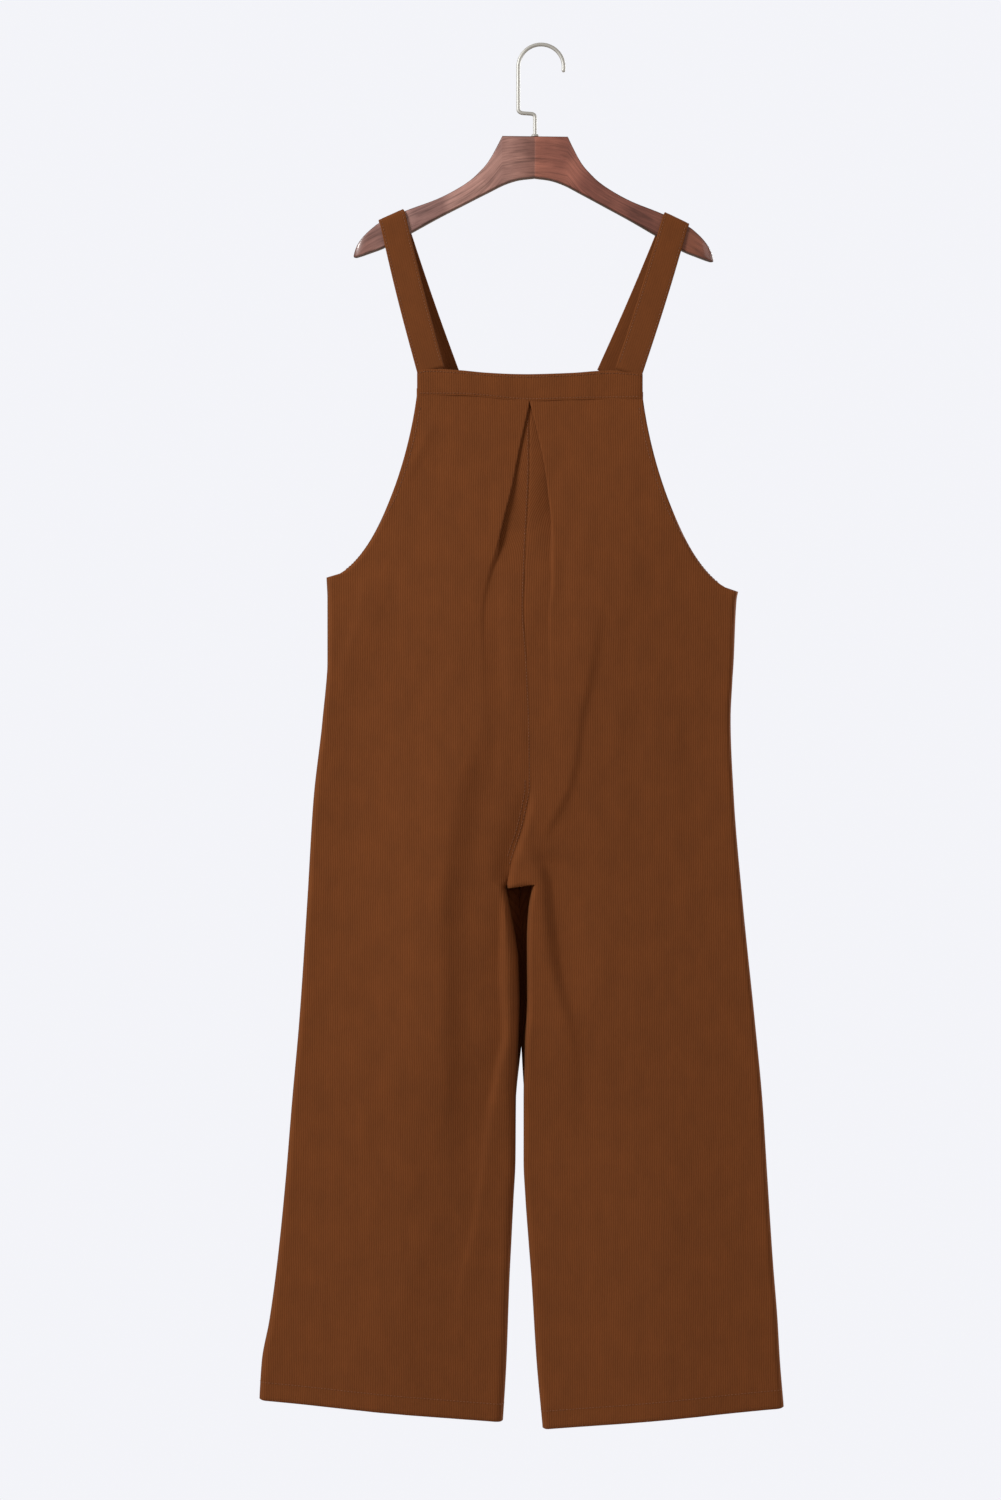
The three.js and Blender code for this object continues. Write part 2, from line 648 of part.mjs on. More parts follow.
// Closed geometry of three.js as a solid that can be cut or joined, and back again
function toSolid(geometry) {
  const bare = geometry.clone();
  bare.deleteAttribute("normal");
  bare.deleteAttribute("uv");
  const merged = mergeVertices(bare, 1e-4);
  const vertProperties = new Float32Array(merged.attributes.position.array);
  const triVerts = new Uint32Array(merged.index.array);
  return new wasm.Manifold(new wasm.Mesh({ numProp: 3, vertProperties, triVerts }));
}

function toGeometry(solid) {
  const mesh = solid.getMesh();
  const geometry = new THREE.BufferGeometry();
  geometry.setAttribute("position", new THREE.BufferAttribute(mesh.vertProperties, mesh.numProp));
  geometry.setIndex(Array.from(mesh.triVerts));
  return geometry;
}

function hangerArms() {
  const toPoint = (sign) => (row) => new THREE.Vector2(sign * row.out, -row.drop);
  const right = HANGER_FLANK.map(toPoint(1));
  const belly = HANGER_BELLY.map(toPoint(1));
  const leftBelly = HANGER_BELLY.slice(0, -1).reverse().map(toPoint(-1));
  const left = [...HANGER_FLANK].reverse().map(toPoint(-1));
  const tip = HANGER_TIP.map(toPoint(1));
  const leftTip = [...HANGER_TIP].reverse().map(toPoint(-1));
  const shape = new THREE.Shape();
  shape.moveTo(-HANGER.headHalf, -HANGER.headTop);
  shape.lineTo(HANGER.headHalf, -HANGER.headTop);
  shape.splineThru([...right, ...tip, ...belly, ...leftBelly, ...leftTip, ...left]);
  const arms = new THREE.ExtrudeGeometry(shape, {
    depth: HANGER.thick - 2 * HANGER.edge,
    bevelThickness: HANGER.edge,
    bevelSize: HANGER.edge,
    bevelOffset: -HANGER.edge,
    bevelSegments: 2,
    curveSegments: 2,
    steps: 1,
  });
  arms.translate(0, 0, -(HANGER.thick / 2 - HANGER.edge));
  arms.rotateX(Math.PI / 2);
  arms.translate(0, 0, HANGER.headTop);
  arms.rotateY(radians(HANGER.tilt));
  arms.translate(HANGER.across, 0, -HANGER.headTop);
  const drill = new THREE.CylinderGeometry(SHANK.hole / 2, SHANK.hole / 2, 2 * SHANK.depth, 16);
  drill.rotateX(Math.PI / 2);
  drill.translate(HANGER.across, 0, -HANGER.headTop);
  return toGeometry(toSolid(arms).subtract(toSolid(drill)));
}

class WirePath extends THREE.Curve {
  constructor() {
    super();
    const { radius, tipAngle, crank, crankBend } = HOOK;
    const shank = HANGER.across;
    this.flat = new THREE.Path();
    this.flat.moveTo(shank, -HANGER.headTop - SHANK.depth + 1);
    this.flat.lineTo(shank, -crank - crankBend);
    this.flat.quadraticCurveTo(shank, -crank, shank - crankBend, -crank);
    this.flat.lineTo(crankBend - radius, -crank);
    this.flat.quadraticCurveTo(-radius, -crank, -radius, crankBend - crank);
    this.flat.lineTo(-radius, HOOK.wire / 2 - radius);
    this.flat.absarc(0, HOOK.wire / 2 - radius, radius, Math.PI, radians(tipAngle), true);
  }

  getPoint(t, target = new THREE.Vector3()) {
    const point = this.flat.getPoint(t);
    return target.set(point.x, 0, point.y);
  }
}

function hangerHook() {
  const round = new THREE.Shape();
  round.absarc(0, 0, HOOK.wire / 2, 0, 2 * Math.PI, false);
  const wire = new THREE.ExtrudeGeometry(round, {
    extrudePath: new WirePath(),
    steps: HOOK_STEPS,
    curveSegments: WIRE_SIDES / 2,
    bevelEnabled: false,
  });
  const collarRadius = SHANK.collar / 2;
  const collar = new THREE.CylinderGeometry(collarRadius, collarRadius, SHANK.collarThick, 20);
  collar.rotateX(Math.PI / 2);
  collar.translate(HANGER.across, 0, -HANGER.headTop + SEAM_GAP + SHANK.collarThick / 2);
  return toGeometry(toSolid(wire).add(toSolid(collar)));
}

const part = new THREE.Group();

function addPiece(name, geometry, material) {
  const mesh = new THREE.Mesh(geometry, material.clone());
  mesh.name = name;
  part.add(mesh);
}

for (const face of [FRONT, BACK]) {
  for (const side of [LEFT, RIGHT]) {
    addPiece(`${faceName(face)}_${sideName(side)}`, panel(side, face), MATERIALS.corduroy);
  }
}
addPiece("front_band", band(FRONT_BAND, FRONT), MATERIALS.corduroy);
addPiece("back_band", band(BACK_BAND, BACK), MATERIALS.corduroy);
for (const row of STRAPS) {
  addPiece(row.name, strap(row), MATERIALS.corduroy);
}
addPiece("hanger_arms", hangerArms(), MATERIALS.wood);
addPiece("hanger_hook", hangerHook(), MATERIALS.nickel);

export default part;
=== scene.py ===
# Brown corduroy bib overalls on a wooden hanger, dressed for a studio picture.
# Tables are in millimetres: drop is the distance below the top of the hook's opening, across runs
# to the right as the front is seen. Meshes are in metres, +Z up, with the front towards -Y.

import logging
import math
from dataclasses import dataclass
from enum import Enum
from typing import Callable, Sequence

import bmesh
import bpy
import numpy as np
from mathutils import Matrix, Vector


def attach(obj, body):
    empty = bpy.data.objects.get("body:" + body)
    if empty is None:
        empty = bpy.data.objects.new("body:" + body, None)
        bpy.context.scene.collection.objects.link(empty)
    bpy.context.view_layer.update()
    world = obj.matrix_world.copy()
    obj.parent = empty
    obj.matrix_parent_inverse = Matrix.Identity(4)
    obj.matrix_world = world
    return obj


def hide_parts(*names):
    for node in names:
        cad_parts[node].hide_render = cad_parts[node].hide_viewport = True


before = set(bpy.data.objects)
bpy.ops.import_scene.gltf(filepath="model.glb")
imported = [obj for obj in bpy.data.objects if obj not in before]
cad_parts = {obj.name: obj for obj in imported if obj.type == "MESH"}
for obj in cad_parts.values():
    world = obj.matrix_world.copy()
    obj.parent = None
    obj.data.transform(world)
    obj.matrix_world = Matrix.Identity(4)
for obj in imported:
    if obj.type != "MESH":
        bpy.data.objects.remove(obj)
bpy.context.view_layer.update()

# Short names for types
Array = np.ndarray
Number = np.ndarray | float
Pair = tuple[float, float]
Triple = tuple[float, float, float]
Colour = tuple[float, float, float]
Row = tuple[Array, Array]
Piece = bpy.types.Object
Material = bpy.types.Material
Socket = bpy.types.NodeSocket

LOG = logging.getLogger("overalls")
MM = 0.001

# Wall of the cloth, the step to a turned layer, and how far its seams stand off the middle planes
CLOTH = 1.2
LAYER = CLOTH + 0.3
SEAM_SET = 0.62
SEAM_HALF = -0.54

# Depth of the bands, and where the under layer of a doubled strip lies on its chart
BAND_DEPTH = 11.6
UNDER_LAYER = 60

BODY = "root"
CORDUROY, WOOD, NICKEL = "corduroy", "wood", "nickel"


class Side(Enum):
    """Side of the garment, as its front is seen."""

    LEFT = -1
    RIGHT = 1

    @property
    def word(self) -> str:
        """Name of the side in tables and pieces."""
        return self.name.lower()


class Face(Enum):
    """Front or back of the garment."""

    FRONT = -1
    BACK = 1

    @property
    def word(self) -> str:
        """Name of the face in tables and pieces."""
        return self.name.lower()


class Curve:
    """Monotone cubic through the points of a short table."""

    def __init__(self, x: Sequence[float], y: Sequence[float]) -> None:
        """Works out the slope at each point.

        Args:
            x: Places of the points, rising.
            y: Values there.
        """
        self.x = np.asarray(x, float)
        self.y = np.asarray(y, float)
        rise = np.diff(self.y) / np.diff(self.x)
        product = rise[:-1] * rise[1:]
        total = np.where(product > 0, rise[:-1] + rise[1:], 1.0)
        inside = np.where(product > 0, 2 * product / total, 0.0)
        self.slope = np.concatenate(([rise[0]], inside, [rise[-1]]))

    def __call__(self, at: Number) -> Number:
        """Value at one or many places, held at the ends.

        Args:
            at: Places to read.

        Returns:
            Values of the same shape.
        """
        here = np.clip(at, self.x[0], self.x[-1])
        i = np.clip(np.searchsorted(self.x, here, side="right") - 1, 0, len(self.x) - 2)
        width = self.x[i + 1] - self.x[i]
        t = (here - self.x[i]) / width
        bend = t * t * (3 - 2 * t)
        leave = t * (1 - t) ** 2 * width * self.slope[i]
        arrive = t * t * (t - 1) * width * self.slope[i + 1]
        return self.y[i] * (1 - bend) + self.y[i + 1] * bend + leave + arrive


class Table:
    """Short table with named columns, read as curves over its first column."""

    def __init__(self, columns: str, *rows: tuple[float, ...]) -> None:
        """Makes a curve for each column after the first, which holds the places.

        Args:
            columns: Names of the columns.
            rows: One tuple for each place.
        """
        names = columns.split()
        self.place = [row[0] for row in rows]
        self.curves = {
            name: Curve(self.place, [row[i] for row in rows]) for i, name in enumerate(names) if i
        }

    def __getitem__(self, name: str) -> Curve:
        """Curve of a column."""
        return self.curves[name]


SIDE_EDGES = Table(
    "drop left right",
    (561, -226, 213), (584, -225, 206), (648, -225, 203), (711, -230, 199.5), (795, -239.5, 203),
    (901, -246, 212), (1028, -254.5, 225), (1112, -262, 233), (1197, -269, 238.5),
    (1281, -277.5, 244), (1344, -286, 249), (1387, -294, 251.5), (1435, -297, 255.5),
)
CENTRE_SEAM = Table(
    "drop front back",
    (376, -12, -13), (437, -12, -13), (532, -16, -14), (595, -18, -14), (648, -14.5, -14),
    (711, -11.5, -14), (780, -10.5, -15), (801, -14, -18), (825, -19.5, -23), (848, -27, -29),
    (867, -32.5, -33.5), (887, -36.5, -36.5),
)
INNER_LEGS = Table(
    "drop left right",
    (887, -37.4, -9.5), (919, -31.5, -13.5), (943, -27, -14.5), (964, -24.5, -14.5),
    (1007, -23.2, -14.5), (1049, -24.3, -16.9), (1112, -26.9, -17.9), (1175, -27.4, -17.9),
    (1218, -29.6, -15.8), (1260, -31.7, -12.7), (1302, -33.8, -9.5), (1387, -36.9, -4.2), (1455, -41, 2),
)
DEPTHS = Table(
    "drop front back side left right",
    (376, 12, 12, 5, 18, 18), (440, 16, 14, 5, 18, 18), (520, 21, 16, 5.5, 18, 18),
    (600, 24, 18, 6, 18, 18), (700, 22, 19, 6, 18, 18), (886, 19, 19, 6, 9, 5), (960, 19, 19, 6, 13, 6),
    (1050, 19, 19, 6, 13, 7), (1200, 20, 20, 7, 11, 7), (1455, 23, 22, 8, 10, 7),
)
GAP_INNER = 16
PLEATS = {
    Side.LEFT: Table(
        "drop edge length turn bend",
        (376, 1, 26, 180, 0.68), (437, 14, 20, 180, 0.7), (472, 20, 14, 178, 0.74),
        (500, 25.5, 6, 170, 0.86), (519, 28.8, 2, 132, 1.2), (536, 31.2, 0.6, 72, 2.8),
        (556, 33.8, 0, 38, 6.5), (592, 36, 0, 21, 11), (648, 36, 0, 13, 13), (753, 34, 0, 6, 13),
        (840, 30, 0, 0, 14),
    ),
    Side.RIGHT: Table(
        "drop edge length turn bend",
        (376, 1, 26, 180, 0.68), (416, 11, 21, 180, 0.7), (452, 18, 14, 177, 0.76),
        (478, 22.2, 6.5, 158, 1.0), (500, 25.8, 2.4, 112, 1.6), (524, 28, 1, 76, 2.6),
        (563, 28, 0, 40, 4.5), (600, 24, 0, 28, 6), (660, 20, 0, 20, 7), (753, 19, 0, 0, 8),
    ),
}
BANDS = {
    Face.FRONT: Table(
        "across top seam",
        (-130.5, 343.6, 370.4), (-120, 341.5, 370.4), (-85, 343.3, 370.6), (-57, 345.8, 372.6),
        (-30, 347.1, 375.4), (-12, 347.3, 376.4), (32, 346, 375.2), (72, 343.4, 374.5),
        (96, 344.6, 374.2), (106.8, 347, 374.1),
    ),
    Face.BACK: Table(
        "across top seam",
        (-115, 343.4, 371.2), (-85, 343.4, 371.4), (-13, 346.5, 374.6), (58, 343.6, 373), (92, 343.8, 372.8),
    ),
}
ARMPITS = {Side.LEFT: (-226, 561), Side.RIGHT: (209.5, 576)}


@dataclass(frozen=True)
class Level:
    """Line across a panel, from its inner edge to its side, down to which rows are spaced evenly.

    Attributes:
        under_fork: Whether its inner end lies on an inner leg.
        left: Drops of its inner and outer ends on the left.
        right: Drops of its inner and outer ends on the right.
        dip: How far it hangs lower at its inner end.
        reach: Distance over which the dip fades.
        steps: Number of rows down to it.
    """

    under_fork: bool
    left: Pair
    right: Pair
    dip: float
    reach: float
    steps: int

    def runs(self, side: Side) -> Callable[[Array, Array, float], Array]:
        """Drop of the level along a panel.

        Args:
            side: Side of the panel.

        Returns:
            Function of the place across, the distance from the inner edge and the panel's span.
        """
        inner, outer = self.left if side is Side.LEFT else self.right

        def drop(_: Array, out: Array, span: float) -> Array:
            return inner + (outer - inner) * out / span + self.dip * np.exp(-((out / self.reach) ** 2))

        return drop


LEVELS = (
    Level(False, (568.5, 561), (568.5, 576), 0, 20, 50),
    Level(False, (752, 748), (752, 756), 0, 20, 42),
    Level(False, (846, 844), (846, 848), 0, 20, 22),
    Level(False, (869, 868), (869, 870), 4, 18, 7),
    Level(False, (880, 879), (880, 881), 7.5, 18, 4),
    Level(True, (888.5, 884), (884, 885), 0, 18, 1),
    Level(True, (965, 963), (965, 965), 0, 18, 24),
    Level(True, (1421, 1400), (1428, 1408), 3, 150, 104),
    Level(True, (1446, 1425.7), (1453.5, 1434.2), 3, 150, 7),
)


@dataclass(frozen=True)
class Fold:
    """Soft ridge or trough of the cloth.

    Attributes:
        path: Points of its line, as (drop, across), from top to bottom.
        rise: How far it stands out, or sinks where negative.
        left: Width of its left slope.
        right: Width of its right slope.
        start: Share of its length over which it grows.
        end: Share of its length over which it fades.
    """

    path: tuple[Pair, ...]
    rise: float
    left: float
    right: float
    start: float = 0.3
    end: float = 0.35

    def lift(self, across: Array, drop: Array) -> Array:
        """How far the fold moves each point out.

        Args:
            across: Places across the panel.
            drop: Drops there.

        Returns:
            Lift in millimetres.
        """
        line = Curve([point[0] for point in self.path], [point[1] for point in self.path])
        along = (drop - line.x[0]) / (line.x[-1] - line.x[0])
        fade = smooth(along / self.start) * smooth((1 - along) / self.end)
        off = across - line(drop)
        width = np.where(off < 0, self.left, self.right)
        return self.rise * fade * np.exp(-((off / width) ** 2))


FRONT_FOLDS = (
    Fold(((560, 66), (613, 58), (677, 46), (707, 39), (742, 35), (783, 26), (818, 9), (850, -6)),
         3.0, 46, 5.6, 0.35, 0.15),
    Fold(((610, -64), (690, -62), (732, -72), (796, -96), (859, -104), (933, -110), (1007, -108),
          (1112, -106), (1200, -98), (1280, -96)), 10, 80, 22, 0.42, 0.4),
    Fold(((780, -50), (860, -56), (960, -60), (1060, -62), (1160, -60)), 1.6, 24, 16),
    Fold(((878, -37), (976, -37.5), (1040, -35), (1081, -43), (1140, -53), (1199, -62), (1246, -69),
          (1281, -78), (1322, -85), (1400, -88)), 3.4, 3.4, 20, 0.04),
    Fold(((890, -46), (976, -46), (1040, -44), (1081, -53), (1140, -64), (1199, -74), (1260, -84)),
         -1.8, 26, 6, 0.1),
    Fold(((838, -26), (846, -20), (856, -12), (866, -4), (886, 0), (906, 1), (935, 4), (978, 10.5),
          (1011, 19.5), (1038, 27), (1064, 31), (1111, 37), (1150, 46)), 3.9, 18, 8, 0.08, 0.4),
    Fold(((842, -8), (858, 1), (872, 9), (900, 14), (935, 17), (978, 24), (1030, 42)), -4.4, 10, 28, 0.12),
    Fold(((770, -11), (801, -14), (825, -19.5), (848, -27), (867, -32.5), (890, -36.5)),
         -4.4, 14, 4, 0.3, 0.1),
    Fold(((545, -60), (600, -58), (660, -52), (720, -50)), -1.1, 12, 20),
    Fold(((545, -36), (620, -34), (700, -32), (790, -35)), 2.0, 8, 26, 0.25, 0.35),
    Fold(((690, -44), (740, -42), (800, -40)), 1.2, 8, 9),
    Fold(((540, -176), (570, -184), (607, -190), (660, -208), (690, -214)), 2.8, 8, 20),
    Fold(((384, -106), (420, -124), (452, -139), (490, -152)), 0.8, 6, 7),
    Fold(((620, 120), (700, 126), (790, 128), (880, 124)), 2, 36, 24),
    Fold(((690, 152), (740, 156), (800, 158), (860, 156)), -1.2, 12, 20),
    Fold(((640, -185), (720, -192), (800, -192), (850, -188)), -1.6, 20, 20),
    Fold(((930, -205), (1010, -206), (1090, -204), (1150, -208)), 1.4, 18, 14),
    Fold(((1020, -178), (1100, -186), (1170, -190)), 1, 12, 12),
    Fold(((1210, -124), (1280, -136), (1345, -150), (1420, -158)), 2, 26, 20),
    Fold(((1130, -134), (1190, -140), (1250, -142)), 1, 14, 12),
    Fold(((520, 96), (570, 92), (620, 84)), 1, 14, 12),
    Fold(((1040, 32), (1090, 40), (1140, 42), (1180, 50)), -1.4, 8, 14),
    Fold(((1170, 10), (1195, 26), (1215, 44)), 1, 7, 7),
    Fold(((1200, 30), (1245, 34), (1290, 38)), -1.4, 10, 18),
    Fold(((1180, 130), (1280, 128), (1380, 132)), 1.4, 26, 24),
    Fold(((900, 62), (980, 58), (1060, 60)), 0.9, 20, 14),
    Fold(((1180, -215), (1290, -226), (1390, -236)), 1.4, 24, 22),
    Fold(((520, 22), (560, 24), (600, 22)), -0.9, 6, 8),
    Fold(((660, 96), (740, 104), (820, 108), (900, 104)), -1.3, 14, 30),
)
BACK_FOLDS = (
    Fold(((600, -125), (700, -115), (800, -100), (900, -84)), -4, 26, 22),
    Fold(((620, 98), (720, 84), (830, 58), (930, 28)), 5, 40, 12),
    Fold(((880, -60), (980, -58), (1100, -72), (1240, -92), (1390, -112)), 4.5, 10, 20, 0.1),
    Fold(((870, 16), (940, 22), (1040, 38), (1140, 54), (1240, 64)), -5, 9, 16, 0.15),
    Fold(((570, 188), (620, 178), (700, 160)), 3, 14, 10),
    Fold(((556, -204), (620, -188), (690, -170)), 2.5, 10, 14),
    Fold(((395, -58), (520, -66), (640, -77)), -2.5, 20, 17),
    Fold(((392, 36), (500, 46), (600, 60)), -2.5, 16, 20),
    Fold(((1000, 162), (1200, 150), (1400, 166)), 3, 34, 28),
    Fold(((1050, -192), (1230, -202), (1410, -212)), -3, 24, 30),
    Fold(((790, -14), (850, -22), (900, -34)), -3, 8, 9),
    Fold(((700, 30), (780, 26), (860, 10)), 2.5, 10, 8),
    Fold(((430, -120), (500, -150), (545, -178)), 1.4, 7, 8),
    Fold(((430, 104), (500, 128), (560, 160)), 1.4, 8, 7),
    Fold(((720, 150), (820, 158), (930, 156)), -2.4, 22, 20),
    Fold(((1180, 30), (1260, 42), (1350, 44)), 2, 12, 14),
    Fold(((940, -150), (1040, -146), (1150, -150)), 3, 26, 22),
)

# The armholes' curve, and how the panels round off towards their sides
ARMHOLE_STRAIGHT = 0.25
ARMHOLE_ROUNDNESS = 1.9
ARMHOLE_CLOSING = 100
SIDE_ROUND = 2.3
INNER_ROUND = 2.3
FLAT_SHARE = 0.5
FLAT_REACH = 170

# The fork: where it ends, how it turns under, and the lap of the right back over the left one
FORK_END = 887
FORK_TURNED = 22
FORK_ROUND = 2.2
FORK_LAP = 4.4
LAP_MIDDLE = 8
LAP_WIDTH = 8

# The gap between the legs, which the inner thighs of the back close from behind
GAP_PAST = 1.3
GAP_UNTIL = 1036
GAP_GONE = 1165
GAP_ROUND = 3.4
GAP_TURN = {Side.LEFT: 0.32, Side.RIGHT: 0.5}
GAP_STEPS = 12

# The end of the pleat's own columns, and where the sway of hanging cloth starts
PLEAT_END = 600
PLEAT_FADE = 90
SWAY_START = 380
SWAY_FADE = 60
SWAY_SEEDS = {Face.FRONT: 3, Face.BACK: 8}
SWAY_WAVES = 7

# Columns of the grids of the panels and bands, and those in each rounded end of a panel
PANEL_COLUMNS = {Face.FRONT: 108, Face.BACK: 84}
PANEL_ENDS = 14
BAND_COLUMNS = {Face.FRONT: 110, Face.BACK: 100}

# Rows of stitches down the panels, as (distance from the edge, top and bottom drops)
ARMHOLE_STITCHES = (5.0, 380)
ARMPIT_CLEAR = 6
SEAM_STITCHES = ((2.6, 384, 868), (7.0, 770, 860))


def smooth(t: Number) -> Number:
    """Smooth step from 0 at 0 to 1 at 1."""
    c = np.clip(t, 0, 1)
    return c * c * (3 - 2 * c)


def rounding(distance: Number, length: float, power: float) -> Number:
    """Rounded end of a section: 0 at its edge, 1 once flat. A power above 2 makes it squarer."""
    t = np.clip(distance / length, 0, 1)
    return (1 - (1 - t) ** power) ** (1 / power)


def smooth_noise(across: Array, drop: Array, seed: int) -> Array:
    """Slow unevenness of hanging cloth, from a few waves of fixed random phase.

    Args:
        across: Places across.
        drop: Drops there.
        seed: Seed of the phases.

    Returns:
        Values within about -1 to 1.
    """
    rng = np.random.default_rng(seed)
    total = np.zeros(np.broadcast(across, drop).shape)
    for _ in range(SWAY_WAVES):
        wide, tall = rng.uniform(28, 80), rng.uniform(90, 260)
        phase, lean = rng.uniform(0, 2 * math.pi), rng.uniform(-0.4, 0.4)
        total = total + np.sin(2 * math.pi * ((across + lean * drop) / wide + drop / tall) + phase)
    return total / SWAY_WAVES


def lengths_along(line: Array) -> Array:
    """Length travelled at each point of a line, from 0 at its start."""
    return np.concatenate(([0], np.cumsum(np.linalg.norm(np.diff(line, axis=0), axis=1))))


def read_at(length: float, travelled: Array, values: Array) -> Array:
    """Point or direction at a length along a line, whose values are given at the lengths travelled."""
    return np.array([np.interp(length, travelled, values[:, k]) for k in range(3)])


def band_depth(across: Number) -> Number:
    """Depth of the bands, which wave a little."""
    return BAND_DEPTH + (0.35 * np.sin(across / 17.0) + 0.25 * np.sin(across / 7.3 + 1))


class PleatRoute:
    """Route of the cloth through one half of the box pleat, at one drop."""

    def __init__(self, side: Side, drop: float) -> None:
        """Reads the fold's sizes.

        Args:
            side: Side of the pleat.
            drop: Drop at the centre seam.
        """
        table = PLEATS[side]
        self.turn = math.radians(float(table["turn"](drop)))
        self.bend = float(table["bend"](drop))
        self.length = float(table["length"](drop))
        self.edge = float(table["edge"](drop))
        self.first = (
            self.edge + self.bend * (1 - 2 * math.sin(self.turn)) - self.length * math.cos(self.turn)
        )
        self.deep = 2 * self.bend * (1 - math.cos(self.turn)) + self.length * math.sin(self.turn)
        self.arc = self.bend * self.turn
        self.step = 0.0

    def meet(self, other: "PleatRoute") -> None:
        """Brings this half and the other one to one depth at the centre seam."""
        self.step = (other.deep - self.deep) / 2

    def at(self, cloth: Array) -> tuple[Array, Array]:
        """Point on the route.

        Args:
            cloth: Lengths of cloth from the centre seam.

        Returns:
            Distance from the seam, and how far the point lies behind the outer layer.
        """
        bend, turn = self.bend, self.turn
        a = np.clip(cloth - self.first, 0, self.arc)
        b = np.clip(cloth - self.first - self.arc, 0, self.length)
        c = np.clip(cloth - self.first - self.arc - self.length, 0, self.arc)
        rest = np.maximum(cloth - self.first - 2 * self.arc - self.length, 0)
        head_a = a / bend
        head_c = turn - c / bend
        out = np.minimum(cloth, self.first) + bend * np.sin(head_a) + b * math.cos(turn)
        out = out + bend * (math.sin(turn) - np.sin(head_c)) + rest
        back = self.deep - bend * (1 - np.cos(head_a)) - b * math.sin(turn)
        back = back - bend * (np.cos(head_c) - math.cos(turn))
        levelled = max(self.first, 6.0)
        return out, back + self.step * (1 - smooth(cloth / levelled))

    def total(self, span: float) -> float:
        """Length of cloth across a panel of a given span."""
        return span - self.edge - self.bend + self.first + 2 * self.arc + self.length

    def stations(self, count: int, total: float, outer: float) -> Array:
        """Lengths of cloth at which columns stand, close together in the folds.

        Args:
            count: Number of columns.
            total: Length of cloth across the panel.
            outer: Length of the rounded side.

        Returns:
            Rising lengths from 0 to total.
        """
        underlay, bends, shortest = 12, 8, 0.5
        second = self.first + self.arc + max(self.length, shortest)
        parts = [
            np.linspace(0, self.first, underlay, endpoint=False),
            np.linspace(self.first, self.first + self.arc, bends),
            np.linspace(second, second + self.arc, bends),
        ]
        left = count - underlay - 2 * bends
        t = np.arange(1, left + 1) / left
        start = second + self.arc
        parts.append(start + (total - start) * t - outer * np.sin(math.pi * t) * t / 4)
        return np.concatenate(parts)


def even_stations(count: int, ends: int, total: float, inner: float, outer: float) -> Array:
    """Lengths of cloth at which columns stand, closer at the rounded ends.

    Args:
        count: Number of columns.
        ends: Number of steps in each rounded end.
        total: Length of cloth across the panel.
        inner: Length of the rounded inner end.
        outer: Length of the rounded side.

    Returns:
        Rising lengths from 0 to total.
    """
    turn = 1 - np.cos(np.arange(ends + 1) / ends * math.pi / 2)
    middle = np.linspace(inner, total - outer, count - 2 * ends)
    return np.concatenate((inner * turn[:-1], middle, (total - outer * turn[:-1])[::-1]))


